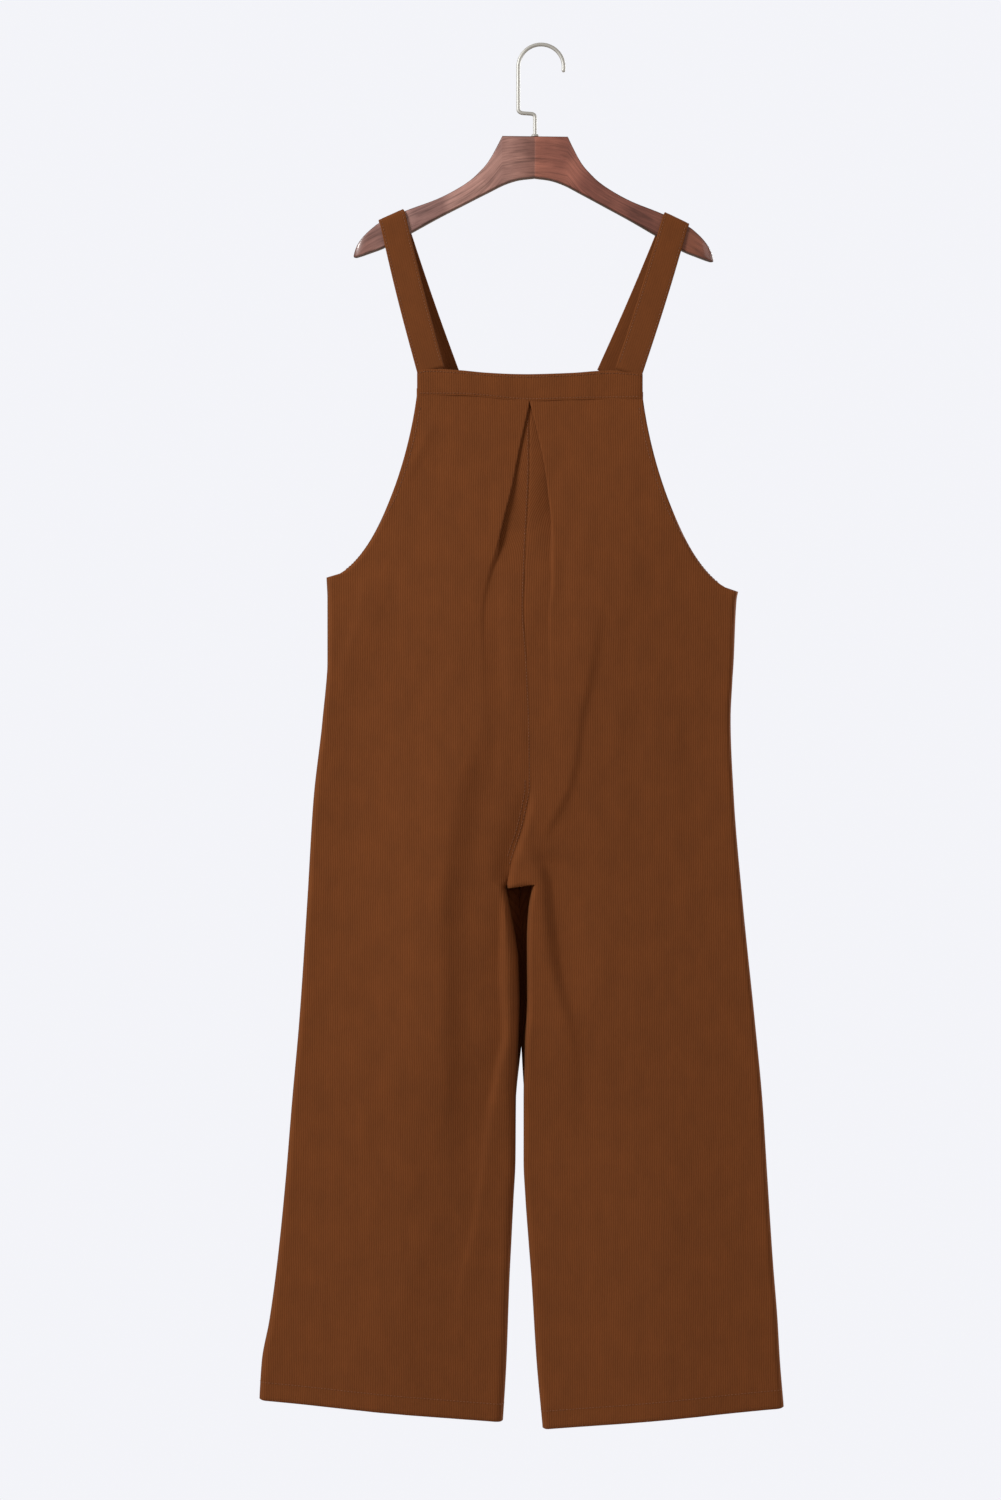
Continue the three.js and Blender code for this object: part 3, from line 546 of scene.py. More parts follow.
@dataclass
class Panel:
    """One of the four long panels, from the seam under its band to its turned hem."""

    side: Side
    face: Face
    cut: Triple
    inner_allowance: float = 4.0
    side_allowance: float = 5.0
    edge_turn: float = 7.0
    top_allowance: float = 8.0
    top_back: float = 0.4
    hem_fold: float = 0.5
    seam_groove: float = 0.16
    groove_width: float = 3.2
    sway: float = 0.5

    @property
    def name(self) -> str:
        """Name of the panel's node."""
        return f"{self.face.word}_{self.side.word}"

    def outer_edge(self, drop: float) -> float:
        """Side edge of the panel: the armhole above the armpit and the side seam below it."""
        across, armpit = ARMPITS[self.side]
        if drop >= armpit:
            return float(SIDE_EDGES[self.side.word](drop))
        band = BANDS[self.face]
        end = band.place[0] if self.side is Side.LEFT else band.place[-1]
        seam = float(band["seam"](end))
        t = min(max((drop - seam) / (armpit - seam), 0), 1)
        turned = 1 - (1 - t ** ARMHOLE_ROUNDNESS) ** (1 / ARMHOLE_ROUNDNESS)
        return end + (across - end) * (ARMHOLE_STRAIGHT * t + (1 - ARMHOLE_STRAIGHT) * turned)

    def inner_edge(self, drop: float, under_fork: bool) -> float:
        """Inner edge of the panel: the centre seam, or the inner leg under the fork."""
        if under_fork:
            return float(INNER_LEGS[self.side.word](drop))
        apart = SEAM_HALF + (SEAM_SET - SEAM_HALF) * self.closing(drop)
        return float(CENTRE_SEAM[self.face.word](drop)) + self.side.value * apart

    @staticmethod
    def closing(drop: float) -> float:
        """How far the inner end of a row is turned under: 0 along the centre seam, 1 at the fork."""
        return 1 - float(rounding(max(FORK_END - drop, 0.0), FORK_TURNED, FORK_ROUND))

    def rows(self) -> list[tuple[Callable, bool]]:
        """Levels of the panel's rows, from the band's seam to the hem."""
        seam = BANDS[self.face]["seam"]

        def start(across: Array, out: Array, span: float) -> Array:
            return seam(across) + 0 * out

        def between(one: Callable, two: Callable, t: float) -> Callable:
            return lambda across, out, span: one(across, out, span) * (1 - t) + two(across, out, span) * t

        made = [(start, False)]
        previous: Callable = start
        for level in LEVELS:
            end = level.runs(self.side)
            for i in range(1, level.steps + 1):
                made.append((between(previous, end, i / level.steps), level.under_fork))
            previous = end
        return made

    def section(self, runs: Callable, under_fork: bool) -> tuple[Array, Array, Pair]:
        """One row of the panel.

        Args:
            runs: Level of the row.
            under_fork: Whether its inner edge is an inner leg.

        Returns:
            Points, cloth coordinates and how far the inner and outer ends are closed.
        """
        side, face, columns = self.side.value, self.face.value, PANEL_COLUMNS[self.face]
        inner_drop = outer_drop = 600.0
        wide, tries = 200.0, 7
        for _ in range(tries):
            inner_drop = float(runs(self.inner_edge(inner_drop, under_fork), 0.0, wide))
            outer_drop = float(runs(self.outer_edge(outer_drop), wide, wide))
        inner = self.inner_edge(inner_drop, under_fork)
        span = abs(self.outer_edge(outer_drop) - inner)
        front = self.face is Face.FRONT
        closed_out = float(smooth((outer_drop - ARMPITS[self.side][1] + ARMHOLE_CLOSING) / ARMHOLE_CLOSING))
        closed_in = 1.0 if under_fork else self.closing(inner_drop)
        round_in = float(DEPTHS[self.side.word](inner_drop)) if front else GAP_INNER
        round_out = min(float(DEPTHS["side"](outer_drop)), span / 2)
        route = PleatRoute(self.side, inner_drop)
        total = route.total(span) if front else span
        tab = 0.0 if under_fork else abs(float(INNER_LEGS[self.side.word](FORK_END)) - inner)
        ending = span / 8 * (1 - closed_in) + (round_in + tab) * closed_in
        cloth = even_stations(columns, PANEL_ENDS, total, ending, round_out)
        if front:
            pleated = 1 - float(smooth((inner_drop - PLEAT_END) / PLEAT_FADE))
            cloth = cloth * (1 - pleated) + route.stations(columns, total, round_out) * pleated
            route.meet(PleatRoute(Side.RIGHT if self.side is Side.LEFT else Side.LEFT, inner_drop))
            out, back = route.at(cloth)
        else:
            out, back = cloth, np.zeros_like(cloth)
        across = inner + side * out
        drop = runs(across, out, span)
        if not under_fork and not front and self.side is Side.RIGHT:
            drop = drop + FORK_LAP * closed_in ** 3 * np.exp(-(((out - LAP_MIDDLE) / LAP_WIDTH) ** 2))
        folds = FRONT_FOLDS if front else BACK_FOLDS
        depth = DEPTHS[self.face.word](drop) + sum(fold.lift(across, drop) for fold in folds)
        sway = self.sway * smooth_noise(across, drop, SWAY_SEEDS[self.face])
        depth = depth + sway * smooth((drop - SWAY_START) / SWAY_FADE)
        if not under_fork:
            depth = depth - self.seam_groove * np.exp(-((out / self.groove_width) ** 2))
        armpit = ARMPITS[self.side][1]
        beyond = side * (float(SIDE_EDGES[self.side.word](max(outer_drop, armpit))) - across)
        spread = float(smooth((outer_drop - armpit) / FLAT_REACH + 1))
        flat_out = 1 - (1 - FLAT_SHARE) * (1 - smooth(beyond / FLAT_REACH)) * spread
        opened = float(smooth((inner_drop - GAP_UNTIL) / (GAP_GONE - GAP_UNTIL)))
        flat = (1 - FLAT_SHARE) * opened * float(under_fork)
        flat_in = 1 - flat * (1 - smooth(out / FLAT_REACH))
        squarer = 0.0 if front else (GAP_ROUND - INNER_ROUND) * (1 - opened)
        rounded_out = flat_out * (1 - closed_out * (1 - rounding(span - out, round_out, SIDE_ROUND)))
        rounded_in = 1 - closed_in * (1 - rounding(out, round_in, INNER_ROUND + squarer) * flat_in)
        if under_fork and not front:
            across = across - side * self.gap_cover(inner_drop, out, round_in, span)
        standing = SEAM_SET + (depth - SEAM_SET) * rounded_out * rounded_in - back * rounded_in
        points = np.stack((across, face * standing, -drop), axis=1)
        chart = np.stack((inner + side * (cloth - cloth[-1] + span), -drop), axis=1)
        return points, chart, (closed_in, closed_out)

    def gap_cover(self, drop: float, out: Array, round_in: float, span: float) -> Array:
        """How far the inner thigh of the back reaches into the gap between the legs.

        Args:
            drop: Drop of the row at the inner leg.
            out: Distances of its points from the inner leg.
            round_in: Length of the rounded inner end.
            span: Width of the panel there.

        Returns:
            Distance by which each point moves towards the other leg.
        """
        reach = (float(INNER_LEGS["right"](drop)) - float(INNER_LEGS["left"](drop))) / 2 + GAP_PAST
        tuck = smooth(out / round_in / GAP_TURN[self.side]) * (1 - smooth((out - round_in) / (span / 2)))
        cover = reach
        for _ in range(GAP_STEPS):
            cover += reach - float(np.max(cover * tuck - out))
        return cover * tuck * max(0.0, min(1.0, (GAP_GONE - drop) / (GAP_GONE - GAP_UNTIL)))

    def surface(self) -> tuple[Array, Array, Array]:
        """Middle of the cloth, with its normals and cloth coordinates, before edges are turned."""
        made = [self.section(runs, fork) for runs, fork in self.rows()]
        points = np.array([row[0] for row in made])
        chart = np.array([row[1] for row in made])
        closed = np.array([row[2] for row in made])
        normals = grid_normals(points, self.face.value)
        normals[:, 0, 0] *= closed[:, 0]
        normals[:, 0, 1] *= 1 - closed[:, 0]
        normals[:, -1, 1] *= 1 - closed[:, 1]
        normals[[0, -1], :, 2] = 0
        normals /= np.maximum(np.linalg.norm(normals, axis=2, keepdims=True), 1e-6)
        self.closed = closed
        return points, normals, chart

    def build(self, finish: "Corduroy") -> Piece:
        """Makes the panel with its seam allowances and its turned hem.

        Args:
            finish: Cloth of the panel.

        Returns:
            The finished piece.
        """
        points, normals, chart = self.surface()
        self.face_points, self.face_normals = points, normals
        inward = -normals
        along = points[:, -1] - points[:, -4]
        along /= np.linalg.norm(along, axis=1, keepdims=True)
        closed = self.closed[:, 1][:, None]
        near = points[:, -1] + inward[:, -1] * LAYER
        turned = near - along * self.edge_turn
        allowed = points[:, -1] + inward[:, -1] * self.side_allowance
        outer = (near, turned * (1 - closed) + allowed * closed)
        inner = (points[:, 0] + inward[:, 0] * depth for depth in (self.inner_allowance, LAYER))
        points = np.concatenate([v[:, None] for v in inner] + [points] + [v[:, None] for v in outer], axis=1)
        normals = np.concatenate([normals[:, :1]] * 2 + [normals] + [normals[:, -1:]] * 2, axis=1)
        step = np.array([self.side.value, 0.0])
        edge = [chart[:, :1] - step * self.inner_allowance, chart[:, :1] - step * LAYER]
        rim = [chart[:, -1:] + step * LAYER, chart[:, -1:] + step * self.edge_turn]
        chart = np.concatenate(edge + [chart] + rim, axis=1)
        top = points[0] + np.array([0, self.top_back * -self.face.value, self.top_allowance])
        last = slice(-1, -LEVELS[-1].steps - 1, -1)
        hem = points[last] - normals[last] * LAYER
        fold = points[-1] - normals[-1] * LAYER / 2 + np.array([0, 0, -self.hem_fold])
        points = np.concatenate((top[None], points, fold[None], hem))
        folded, turned_up = (chart[-1:] - [0, 1.0], chart[last] - [0, 2.0])
        chart = np.concatenate((chart[:1] + [0, self.top_allowance], chart, folded, turned_up))
        piece = grid_piece(self.name, points, chart, outward=(0, self.face.value, 0))
        thicken(piece, CLOTH)
        dress(piece, finish, CORDUROY, self.name)
        return piece


def grid_normals(points: Array, facing: float) -> Array:
    """Directions square to a grid of points.

    Args:
        points: Rows by columns by 3.
        facing: Sign of Y that most of the normals should have.

    Returns:
        Unit vectors of the same shape.
    """
    def steps(values: Array, axis: int) -> Array:
        edges = np.diff(values, axis=axis)
        edges = edges / np.maximum(np.linalg.norm(edges, axis=2, keepdims=True), 1e-9)
        first = np.take(edges, [0], axis=axis)
        last = np.take(edges, [-1], axis=axis)
        before = np.concatenate((first, edges), axis=axis)
        after = np.concatenate((edges, last), axis=axis)
        return before + after

    normal = np.cross(steps(points, 1), steps(points, 0))
    normal = normal / np.maximum(np.linalg.norm(normal, axis=2, keepdims=True), 1e-9)
    return normal * np.sign(normal[..., 1].mean() * facing)


def add_object(name: str, data: bpy.types.ID) -> Piece:
    """Object that holds some data, linked to the scene at its origin."""
    made = bpy.data.objects.new(name, data)
    bpy.context.scene.collection.objects.link(made)
    return made


def grid_piece(
    name: str,
    points: Array,
    chart: Array,
    outward: Triple | None = None,
    ring: bool = False,
) -> Piece:
    """Mesh on a grid of points.

    Args:
        name: Name of the piece.
        points: Rows by columns by 3, in millimetres.
        chart: Cloth coordinates of the same grid, in millimetres.
        outward: Way that most faces of an open sheet look.
        ring: Whether the columns close on themselves and the ends are capped.

    Returns:
        The object, linked to the scene.
    """
    rows, columns = points.shape[:2]
    bm = bmesh.new()
    bmesh.ops.create_grid(bm, x_segments=columns - 1, y_segments=rows - 1, size=1)
    uv = bm.loops.layers.uv.new("cloth")
    place = {}
    for vert in bm.verts:
        j = round((vert.co.x + 1) / 2 * (columns - 1))
        i = round((vert.co.y + 1) / 2 * (rows - 1))
        place[vert] = (i, j)
    for vert, (i, j) in place.items():
        vert.co = Vector(points[i, j]) * MM
    for face in bm.faces:
        face.smooth = True
        for loop in face.loops:
            i, j = place[loop.vert]
            loop[uv].uv = (chart[i, j, 0] * MM, chart[i, j, 1] * MM)
    if ring:
        bmesh.ops.remove_doubles(bm, verts=bm.verts, dist=1e-6)
        open_edges = [edge for edge in bm.edges if edge.is_boundary]
        if open_edges:
            bmesh.ops.holes_fill(bm, edges=open_edges, sides=0)
        bmesh.ops.recalc_face_normals(bm, faces=bm.faces)
    elif outward is not None:
        total = sum((face.normal * face.calc_area() for face in bm.faces), Vector())
        if total.dot(Vector(outward)) < 0:
            bmesh.ops.reverse_faces(bm, faces=bm.faces)
    mesh = bpy.data.meshes.new(name)
    bm.to_mesh(mesh)
    bm.free()
    return add_object(f"{name}_piece", mesh)


def thicken(piece: Piece, thick: float) -> None:
    """Gives an open sheet its wall, to both sides of its middle.

    Args:
        piece: Open sheet.
        thick: Wall in millimetres.
    """
    shell = piece.modifiers.new("wall", "SOLIDIFY")
    shell.thickness = thick * MM
    shell.offset = 0
    shell.use_even_offset = False
    shell.use_rim = True


def dress(piece: Piece, finish: "Finish", slot: str, *nodes: str) -> None:
    """Gives a piece its finish, hangs it on the body and hides the model's nodes that it stands for.

    Args:
        piece: Piece to dress.
        finish: Its finish.
        slot: Material slot of the record; not used.
        nodes: Nodes that it replaces.
    """
    piece.data.materials.clear()
    piece.data.materials.append(finish.material())
    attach(piece, BODY)
    if nodes:
        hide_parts(*nodes)
    LOG.info("%s: %d faces", piece.name, len(piece.data.polygons))


class Nodes:
    """Short ways to add nodes to a material."""

    def __init__(self, name: str) -> None:
        """Starts a material with a Principled shader.

        Args:
            name: Name of the material.
        """
        self.made = bpy.data.materials.new(name)
        self.made.use_nodes = True
        self.tree = self.made.node_tree
        self.shader = self.tree.nodes["Principled BSDF"]

    def add(self, kind: str, **values: object) -> bpy.types.Node:
        """Adds a node.

        Args:
            kind: Type of the node, without its ShaderNode prefix.
            values: Attributes, or inputs by name with underscores for spaces.

        Returns:
            The node.
        """
        node = self.tree.nodes.new(f"ShaderNode{kind}")
        for key, value in values.items():
            if hasattr(node, key):
                setattr(node, key, value)
            else:
                self.put(node.inputs[key.replace("_", " ")], value)
        return node

    def surface(self, **values: object) -> Material:
        """Sets inputs of the shader, by name with underscores for spaces, and returns the material."""
        for key, value in values.items():
            self.put(self.shader.inputs[key.replace("_", " ")], value)
        return self.made

    def put(self, socket: Socket, value: object) -> None:
        """Links an output to an input, or sets its value."""
        if isinstance(value, Socket):
            self.tree.links.new(value, socket)
        else:
            socket.default_value = value

    def math(self, operation: str, *values: object) -> Socket:
        """Adds a Math node and returns its output."""
        node = self.add("Math", operation=operation)
        for socket, value in zip(node.inputs, values):
            self.put(socket, value)
        return node.outputs[0]

    def ramp(self, factor: Socket, *stops: tuple[float, Sequence[float]]) -> Socket:
        """Adds a colour ramp and returns its colour."""
        node = self.add("ValToRGB")
        elements = node.color_ramp.elements
        while len(elements) < len(stops):
            elements.new(0.5)
        for element, (place, colour) in zip(elements, stops):
            element.position = place
            element.color = (*colour, 1)
        self.put(node.inputs[0], factor)
        return node.outputs[0]

    def mix(self, factor: object, one: object, two: object, blend: str = "MIX") -> Socket:
        """Mixes two colours and returns the result."""
        node = self.add("Mix", data_type="RGBA", blend_type=blend)
        self.put(node.inputs[0], factor)
        for place, colour in ((6, one), (7, two)):
            self.put(node.inputs[place], colour if isinstance(colour, Socket) else (*colour, 1))
        return node.outputs[2]


class Finish:
    """A finish, whose material is made once."""

    label: str

    def material(self) -> Material:
        """Material of the finish."""
        name = type(self).__name__ + "_" + self.label
        return bpy.data.materials.get(name) or self.make(Nodes(name))


@dataclass(frozen=True)
class Corduroy(Finish):
    """Fine-wale cotton corduroy with a soft nap.

    Attributes:
        label: Name that tells finishes apart.
        ridge: Colour of the tops of the wales.
        valley: Colour between the wales.
        wale: Width of a wale with its valley, in millimetres.
        depth: How strongly the wales show, 1 on the long panels.
    """

    label: str = "long"
    ridge: Colour = (0.170, 0.0508, 0.0124)
    valley: Colour = (0.122, 0.0338, 0.0068)
    wale: float = 2.4
    depth: float = 1.0

    def make(self, nodes: Nodes) -> Material:
        """Builds the material on the piece's cloth coordinates."""
        chart = nodes.add("UVMap", uv_map="cloth")
        split = nodes.add("SeparateXYZ", Vector=chart.outputs[0])
        across, along = split.outputs[:2]
        drift = nodes.add("TexNoise", Vector=chart.outputs[0], Scale=18.0, Detail=2.0)
        wander = nodes.math("MULTIPLY", nodes.math("SUBTRACT", drift.outputs[0], 0.5), 0.0035)
        place = nodes.math("ADD", across, wander)
        phase = nodes.math("MULTIPLY", place, 2 * math.pi / (self.wale * MM))
        wave = nodes.math("MULTIPLY_ADD", nodes.math("SINE", phase), 0.5, 0.5)
        height = nodes.math("POWER", wave, 0.6)
        tufts = nodes.add("CombineXYZ", X=across, Y=nodes.math("MULTIPLY", along, 0.6))
        pile = nodes.add("TexNoise", Vector=tufts.outputs[0], Scale=2600.0, Detail=2.0, Roughness=0.6)
        nap = nodes.add("TexNoise", Vector=tufts.outputs[0], Scale=46.0, Detail=5.0, Roughness=0.66)
        stretched = (nodes.math("MULTIPLY", way, scale) for way, scale in ((across, 120.0), (along, 5.0)))
        streak = nodes.add("CombineXYZ", **dict(zip("XY", stretched)))
        brushed = nodes.add("TexNoise", Vector=streak.outputs[0], Scale=1.0, Detail=3.0)
        valley = tuple(b + (a - b) * self.depth for a, b in zip(self.valley, self.ridge))
        valley = tuple(v * (0.9 + 0.1 * self.depth) for v in valley)
        colour = nodes.ramp(height, (0.0, valley), (0.75, self.ridge))
        light = tuple(min(1.0, c * 1.5) for c in self.ridge)
        dark = tuple(c * 0.72 for c in self.valley)
        worn = nodes.ramp(nap.outputs[0], (0.36, (0.92, 0.92, 0.92)), (0.66, (1.07, 1.06, 1.05)))
        colour = nodes.mix(1.0, colour, worn, "MULTIPLY")
        colour = nodes.mix(nodes.math("MULTIPLY", pile.outputs[0], 0.22), colour, light)
        shade = nodes.math("MULTIPLY", nodes.math("SUBTRACT", 0.56, brushed.outputs[0]), 0.2)
        colour = nodes.mix(nodes.math("MAXIMUM", shade, 0.0), colour, dark)
        relief = nodes.math("ADD", height, nodes.math("MULTIPLY", pile.outputs[0], 0.5))
        bump = nodes.add("Bump", Strength=0.55 * self.depth, Distance=0.0004, Height=relief)
        crumple = nodes.add("TexNoise", Vector=tufts.outputs[0], Scale=58.0, Detail=3.0, Roughness=0.55)
        folded = {"Height": crumple.outputs[0], "Normal": bump.outputs[0]}
        rumple = nodes.add("Bump", Strength=0.35, Distance=0.0012, **folded)
        return nodes.surface(
            Base_Color=colour, Normal=rumple.outputs[0], Roughness=0.92, Sheen_Weight=0.12,
            Sheen_Roughness=0.45, Sheen_Tint=(0.9, 0.46, 0.2, 1), Specular_IOR_Level=0.2,
        )


@dataclass(frozen=True)
class Thread(Finish):
    """Polyester sewing thread, a shade lighter than the cloth."""

    label: str = "brown"
    colour: Colour = (0.25, 0.084, 0.027)

    def make(self, nodes: Nodes) -> Material:
        """Builds the material with the twist of its plies."""
        place = nodes.add("TexCoord")
        twist = nodes.add("TexWave", Vector=place.outputs["Object"], Scale=900.0, Distortion=2.0)
        bump = nodes.add("Bump", Strength=0.4, Distance=0.0001, Height=twist.outputs[1])
        dark = tuple(c * 0.7 for c in self.colour)
        colour = nodes.ramp(twist.outputs[1], (0.2, dark), (0.8, self.colour))
        return nodes.surface(Base_Color=colour, Normal=bump.outputs[0], Roughness=0.6)


@dataclass(frozen=True)
class VarnishedWood(Finish):
    """Red-brown hardwood under a satin varnish, paler and greyer on the left and darker and redder on the
    right: partly two woods meeting at the middle joint, partly a painted sheen from the light on the left.

    Attributes:
        label: Name that tells finishes apart.
        early: Colour of the pale grain on the left of the middle joint.
        late: Colour of its dark grain.
        tint_and_sheen_stops: Tints laid on those colours across the hanger, as (place across in metres,
            colour): partly the two woods' own tints either side of the middle joint, partly a painted sheen
            that makes the left paler and greyer.
    """

    label: str = "hanger"
    early: Colour = (0.51, 0.30, 0.27)
    late: Colour = (0.225, 0.130, 0.118)
    # The two woods' own tints either side of the joint, with a painted sheen that grows paler and greyer
    # towards the left.
    tint_and_sheen_stops: tuple[tuple[float, Colour], ...] = (
        (-0.19, (0.86, 0.74, 0.68)), (-0.145, (1.06, 1.04, 1.04)), (-0.035, (1.02, 0.93, 0.88)),
        (-0.0066, (0.78, 0.63, 0.56)), (-0.0060, (1.10, 0.71, 0.55)), (0.05, (0.76, 0.46, 0.38)),
        (0.11, (0.55, 0.34, 0.28)), (0.16, (0.50, 0.28, 0.18)), (0.19, (0.62, 0.38, 0.31)),
    )

    def make(self, nodes: Nodes) -> Material:
        """Builds long grain along the arms, pores, the two woods' tints with a painted sheen towards the
        left, edges darker where the surface turns away from front and back, and a varnish coat.
        """
        chart = nodes.add("UVMap", uv_map="cloth")
        place = nodes.add("TexCoord")
        grain = nodes.add("Mapping", Vector=chart.outputs[0], Scale=(8.0, 110.0, 1.0))
        figure = {"Scale": 1.5, "Detail": 5.0, "Roughness": 0.5, "Distortion": 1.4}
        bands = nodes.add("TexNoise", Vector=grain.outputs[0], **figure)
        cloud = nodes.add("TexNoise", Vector=place.outputs["Object"], Scale=22.0, Detail=2.0)
        pores = nodes.add("Mapping", Vector=chart.outputs[0], Scale=(60.0, 900.0, 1.0))
        specks = nodes.add("TexNoise", Vector=pores.outputs[0], Scale=1.0, Detail=3.0)
        mid = tuple(a * 0.6 + b * 0.4 for a, b in zip(self.early, self.late))
        colour = nodes.ramp(bands.outputs[0], (0.3, self.late), (0.46, mid), (0.7, self.early))
        shade = nodes.ramp(cloud.outputs[0], (0.38, (0.66, 0.62, 0.64)), (0.6, (1.1, 1.1, 1.1)))
        colour = nodes.mix(1.0, colour, shade, "MULTIPLY")
        fleck = nodes.ramp(specks.outputs[0], (0.36, (0.78, 0.76, 0.76)), (0.5, (1.0, 1.0, 1.0)))
        colour = nodes.mix(1.0, colour, fleck, "MULTIPLY")
        split = nodes.add("SeparateXYZ", Vector=place.outputs["Object"])
        spot = nodes.math("MULTIPLY_ADD", split.outputs[0], 2.0, 0.5)
        # Painted sheen on the left, together with the two woods' own tints either side of the middle joint.
        tone_and_sheen = nodes.ramp(spot, *((2 * across + 0.5, tone) for across, tone in self.tint_and_sheen_stops))
        colour = nodes.mix(1.0, colour, tone_and_sheen, "MULTIPLY")
        # Darker where the surface turns away from front and back alike, that is on the rounded edges.
        facing = nodes.add("SeparateXYZ", Vector=nodes.add("NewGeometry").outputs["Normal"])
        flatness = nodes.math("ABSOLUTE", facing.outputs[1])
        edge_darkening = nodes.ramp(flatness, (0.5, (0.36, 0.30, 0.30)), (0.93, (1.0, 1.0, 1.0)))
        colour = nodes.mix(1.0, colour, edge_darkening, "MULTIPLY")
        bump = nodes.add("Bump", Strength=0.12, Distance=0.0004, Height=specks.outputs[0])
        return nodes.surface(
            Base_Color=colour, Normal=bump.outputs[0], Roughness=0.42, Coat_Weight=0.6, Coat_Roughness=0.18,
        )


@dataclass(frozen=True)
class NickelWire(Finish):
    """Nickel-plated steel wire with an uneven polish."""

    label: str = "hook"
    colour: Colour = (0.60, 0.605, 0.585)

    def make(self, nodes: Nodes) -> Material:
        """Builds plated metal whose colour and roughness vary a little."""
        place = nodes.add("TexCoord")
        haze = nodes.add("TexNoise", Vector=place.outputs["Object"], Scale=60.0, Detail=2.0)
        dull = tuple(c * 0.93 for c in self.colour)
        colour = nodes.ramp(haze.outputs[0], (0.3, dull), (0.7, self.colour))
        rough = nodes.ramp(haze.outputs[0], (0.3, (0.5, 0.5, 0.5)), (0.7, (0.58, 0.58, 0.58)))
        return nodes.surface(Base_Color=colour, Roughness=rough, Metallic=0.55)


def strip_ring(width: float, thick: float, edge_stitch: float) -> list[Pair]:
    """Section of a flat doubled strip, pillowed between its rows of stitches.

    Args:
        width: Width of the strip.
        thick: Thickness of the strip.
        edge_stitch: Distance of the stitches from its edges.

    Returns:
        Closed ring of (across, out) points, the first repeated at the end.
    """
    half, steps, sunk, sunk_width = thick / 2, 18, 0.32, 0.9
    flat = width / 2 - half
    top = []
    for i in range(steps + 1):
        x = flat * (1 - 2 * i / steps)
        dimple = sunk * math.exp(-(((width / 2 - abs(x)) - edge_stitch) / sunk_width) ** 2)
        top.append((x, half - dimple))
    top += [(-flat - half * math.sin(a), half * math.cos(a)) for a in np.linspace(0, math.pi, 7)[1:-1]]
    bottom = [(-x, -y) for x, y in top]
    return top + bottom + [top[0]]


@dataclass
class Band:
    """Doubled band along the top of the bib or the back."""

    face: Face
    cut: Pair
    width: float = 28.0
    thick: float = 3.2
    inset: float = 3.0
    pressed: float = 1.2

    def build(self, finish: Corduroy) -> Piece:
        """Makes the band as a closed strip that follows its two edges."""
        table = BANDS[self.face]
        start, end = table.place[0], table.place[-1]
        ring = strip_ring(self.width, self.thick, self.inset)
        columns = BAND_COLUMNS[self.face]
        points, chart = [], []
        for i in range(columns + 1):
            across = start + (end - start) * i / columns
            top, seam = float(table["top"](across)), float(table["seam"](across))
            middle, scale = (top + seam) / 2, (seam - top) / self.width
            pinch = 1 - 0.5 * sum(math.exp(-(step / self.pressed) ** 2) for step in (i, columns - i))
            depth = band_depth(across)
            points.append([
                (across, self.face.value * (depth + y * pinch), -middle + x * scale) for x, y in ring
            ])
            chart.append([(across, x + (0 if y > 0 else UNDER_LAYER)) for x, y in ring])
        name = f"{self.face.word}_band"
        piece = grid_piece(name, np.array(points), np.array(chart), ring=True)
        dress(piece, finish, CORDUROY, name)
        return piece


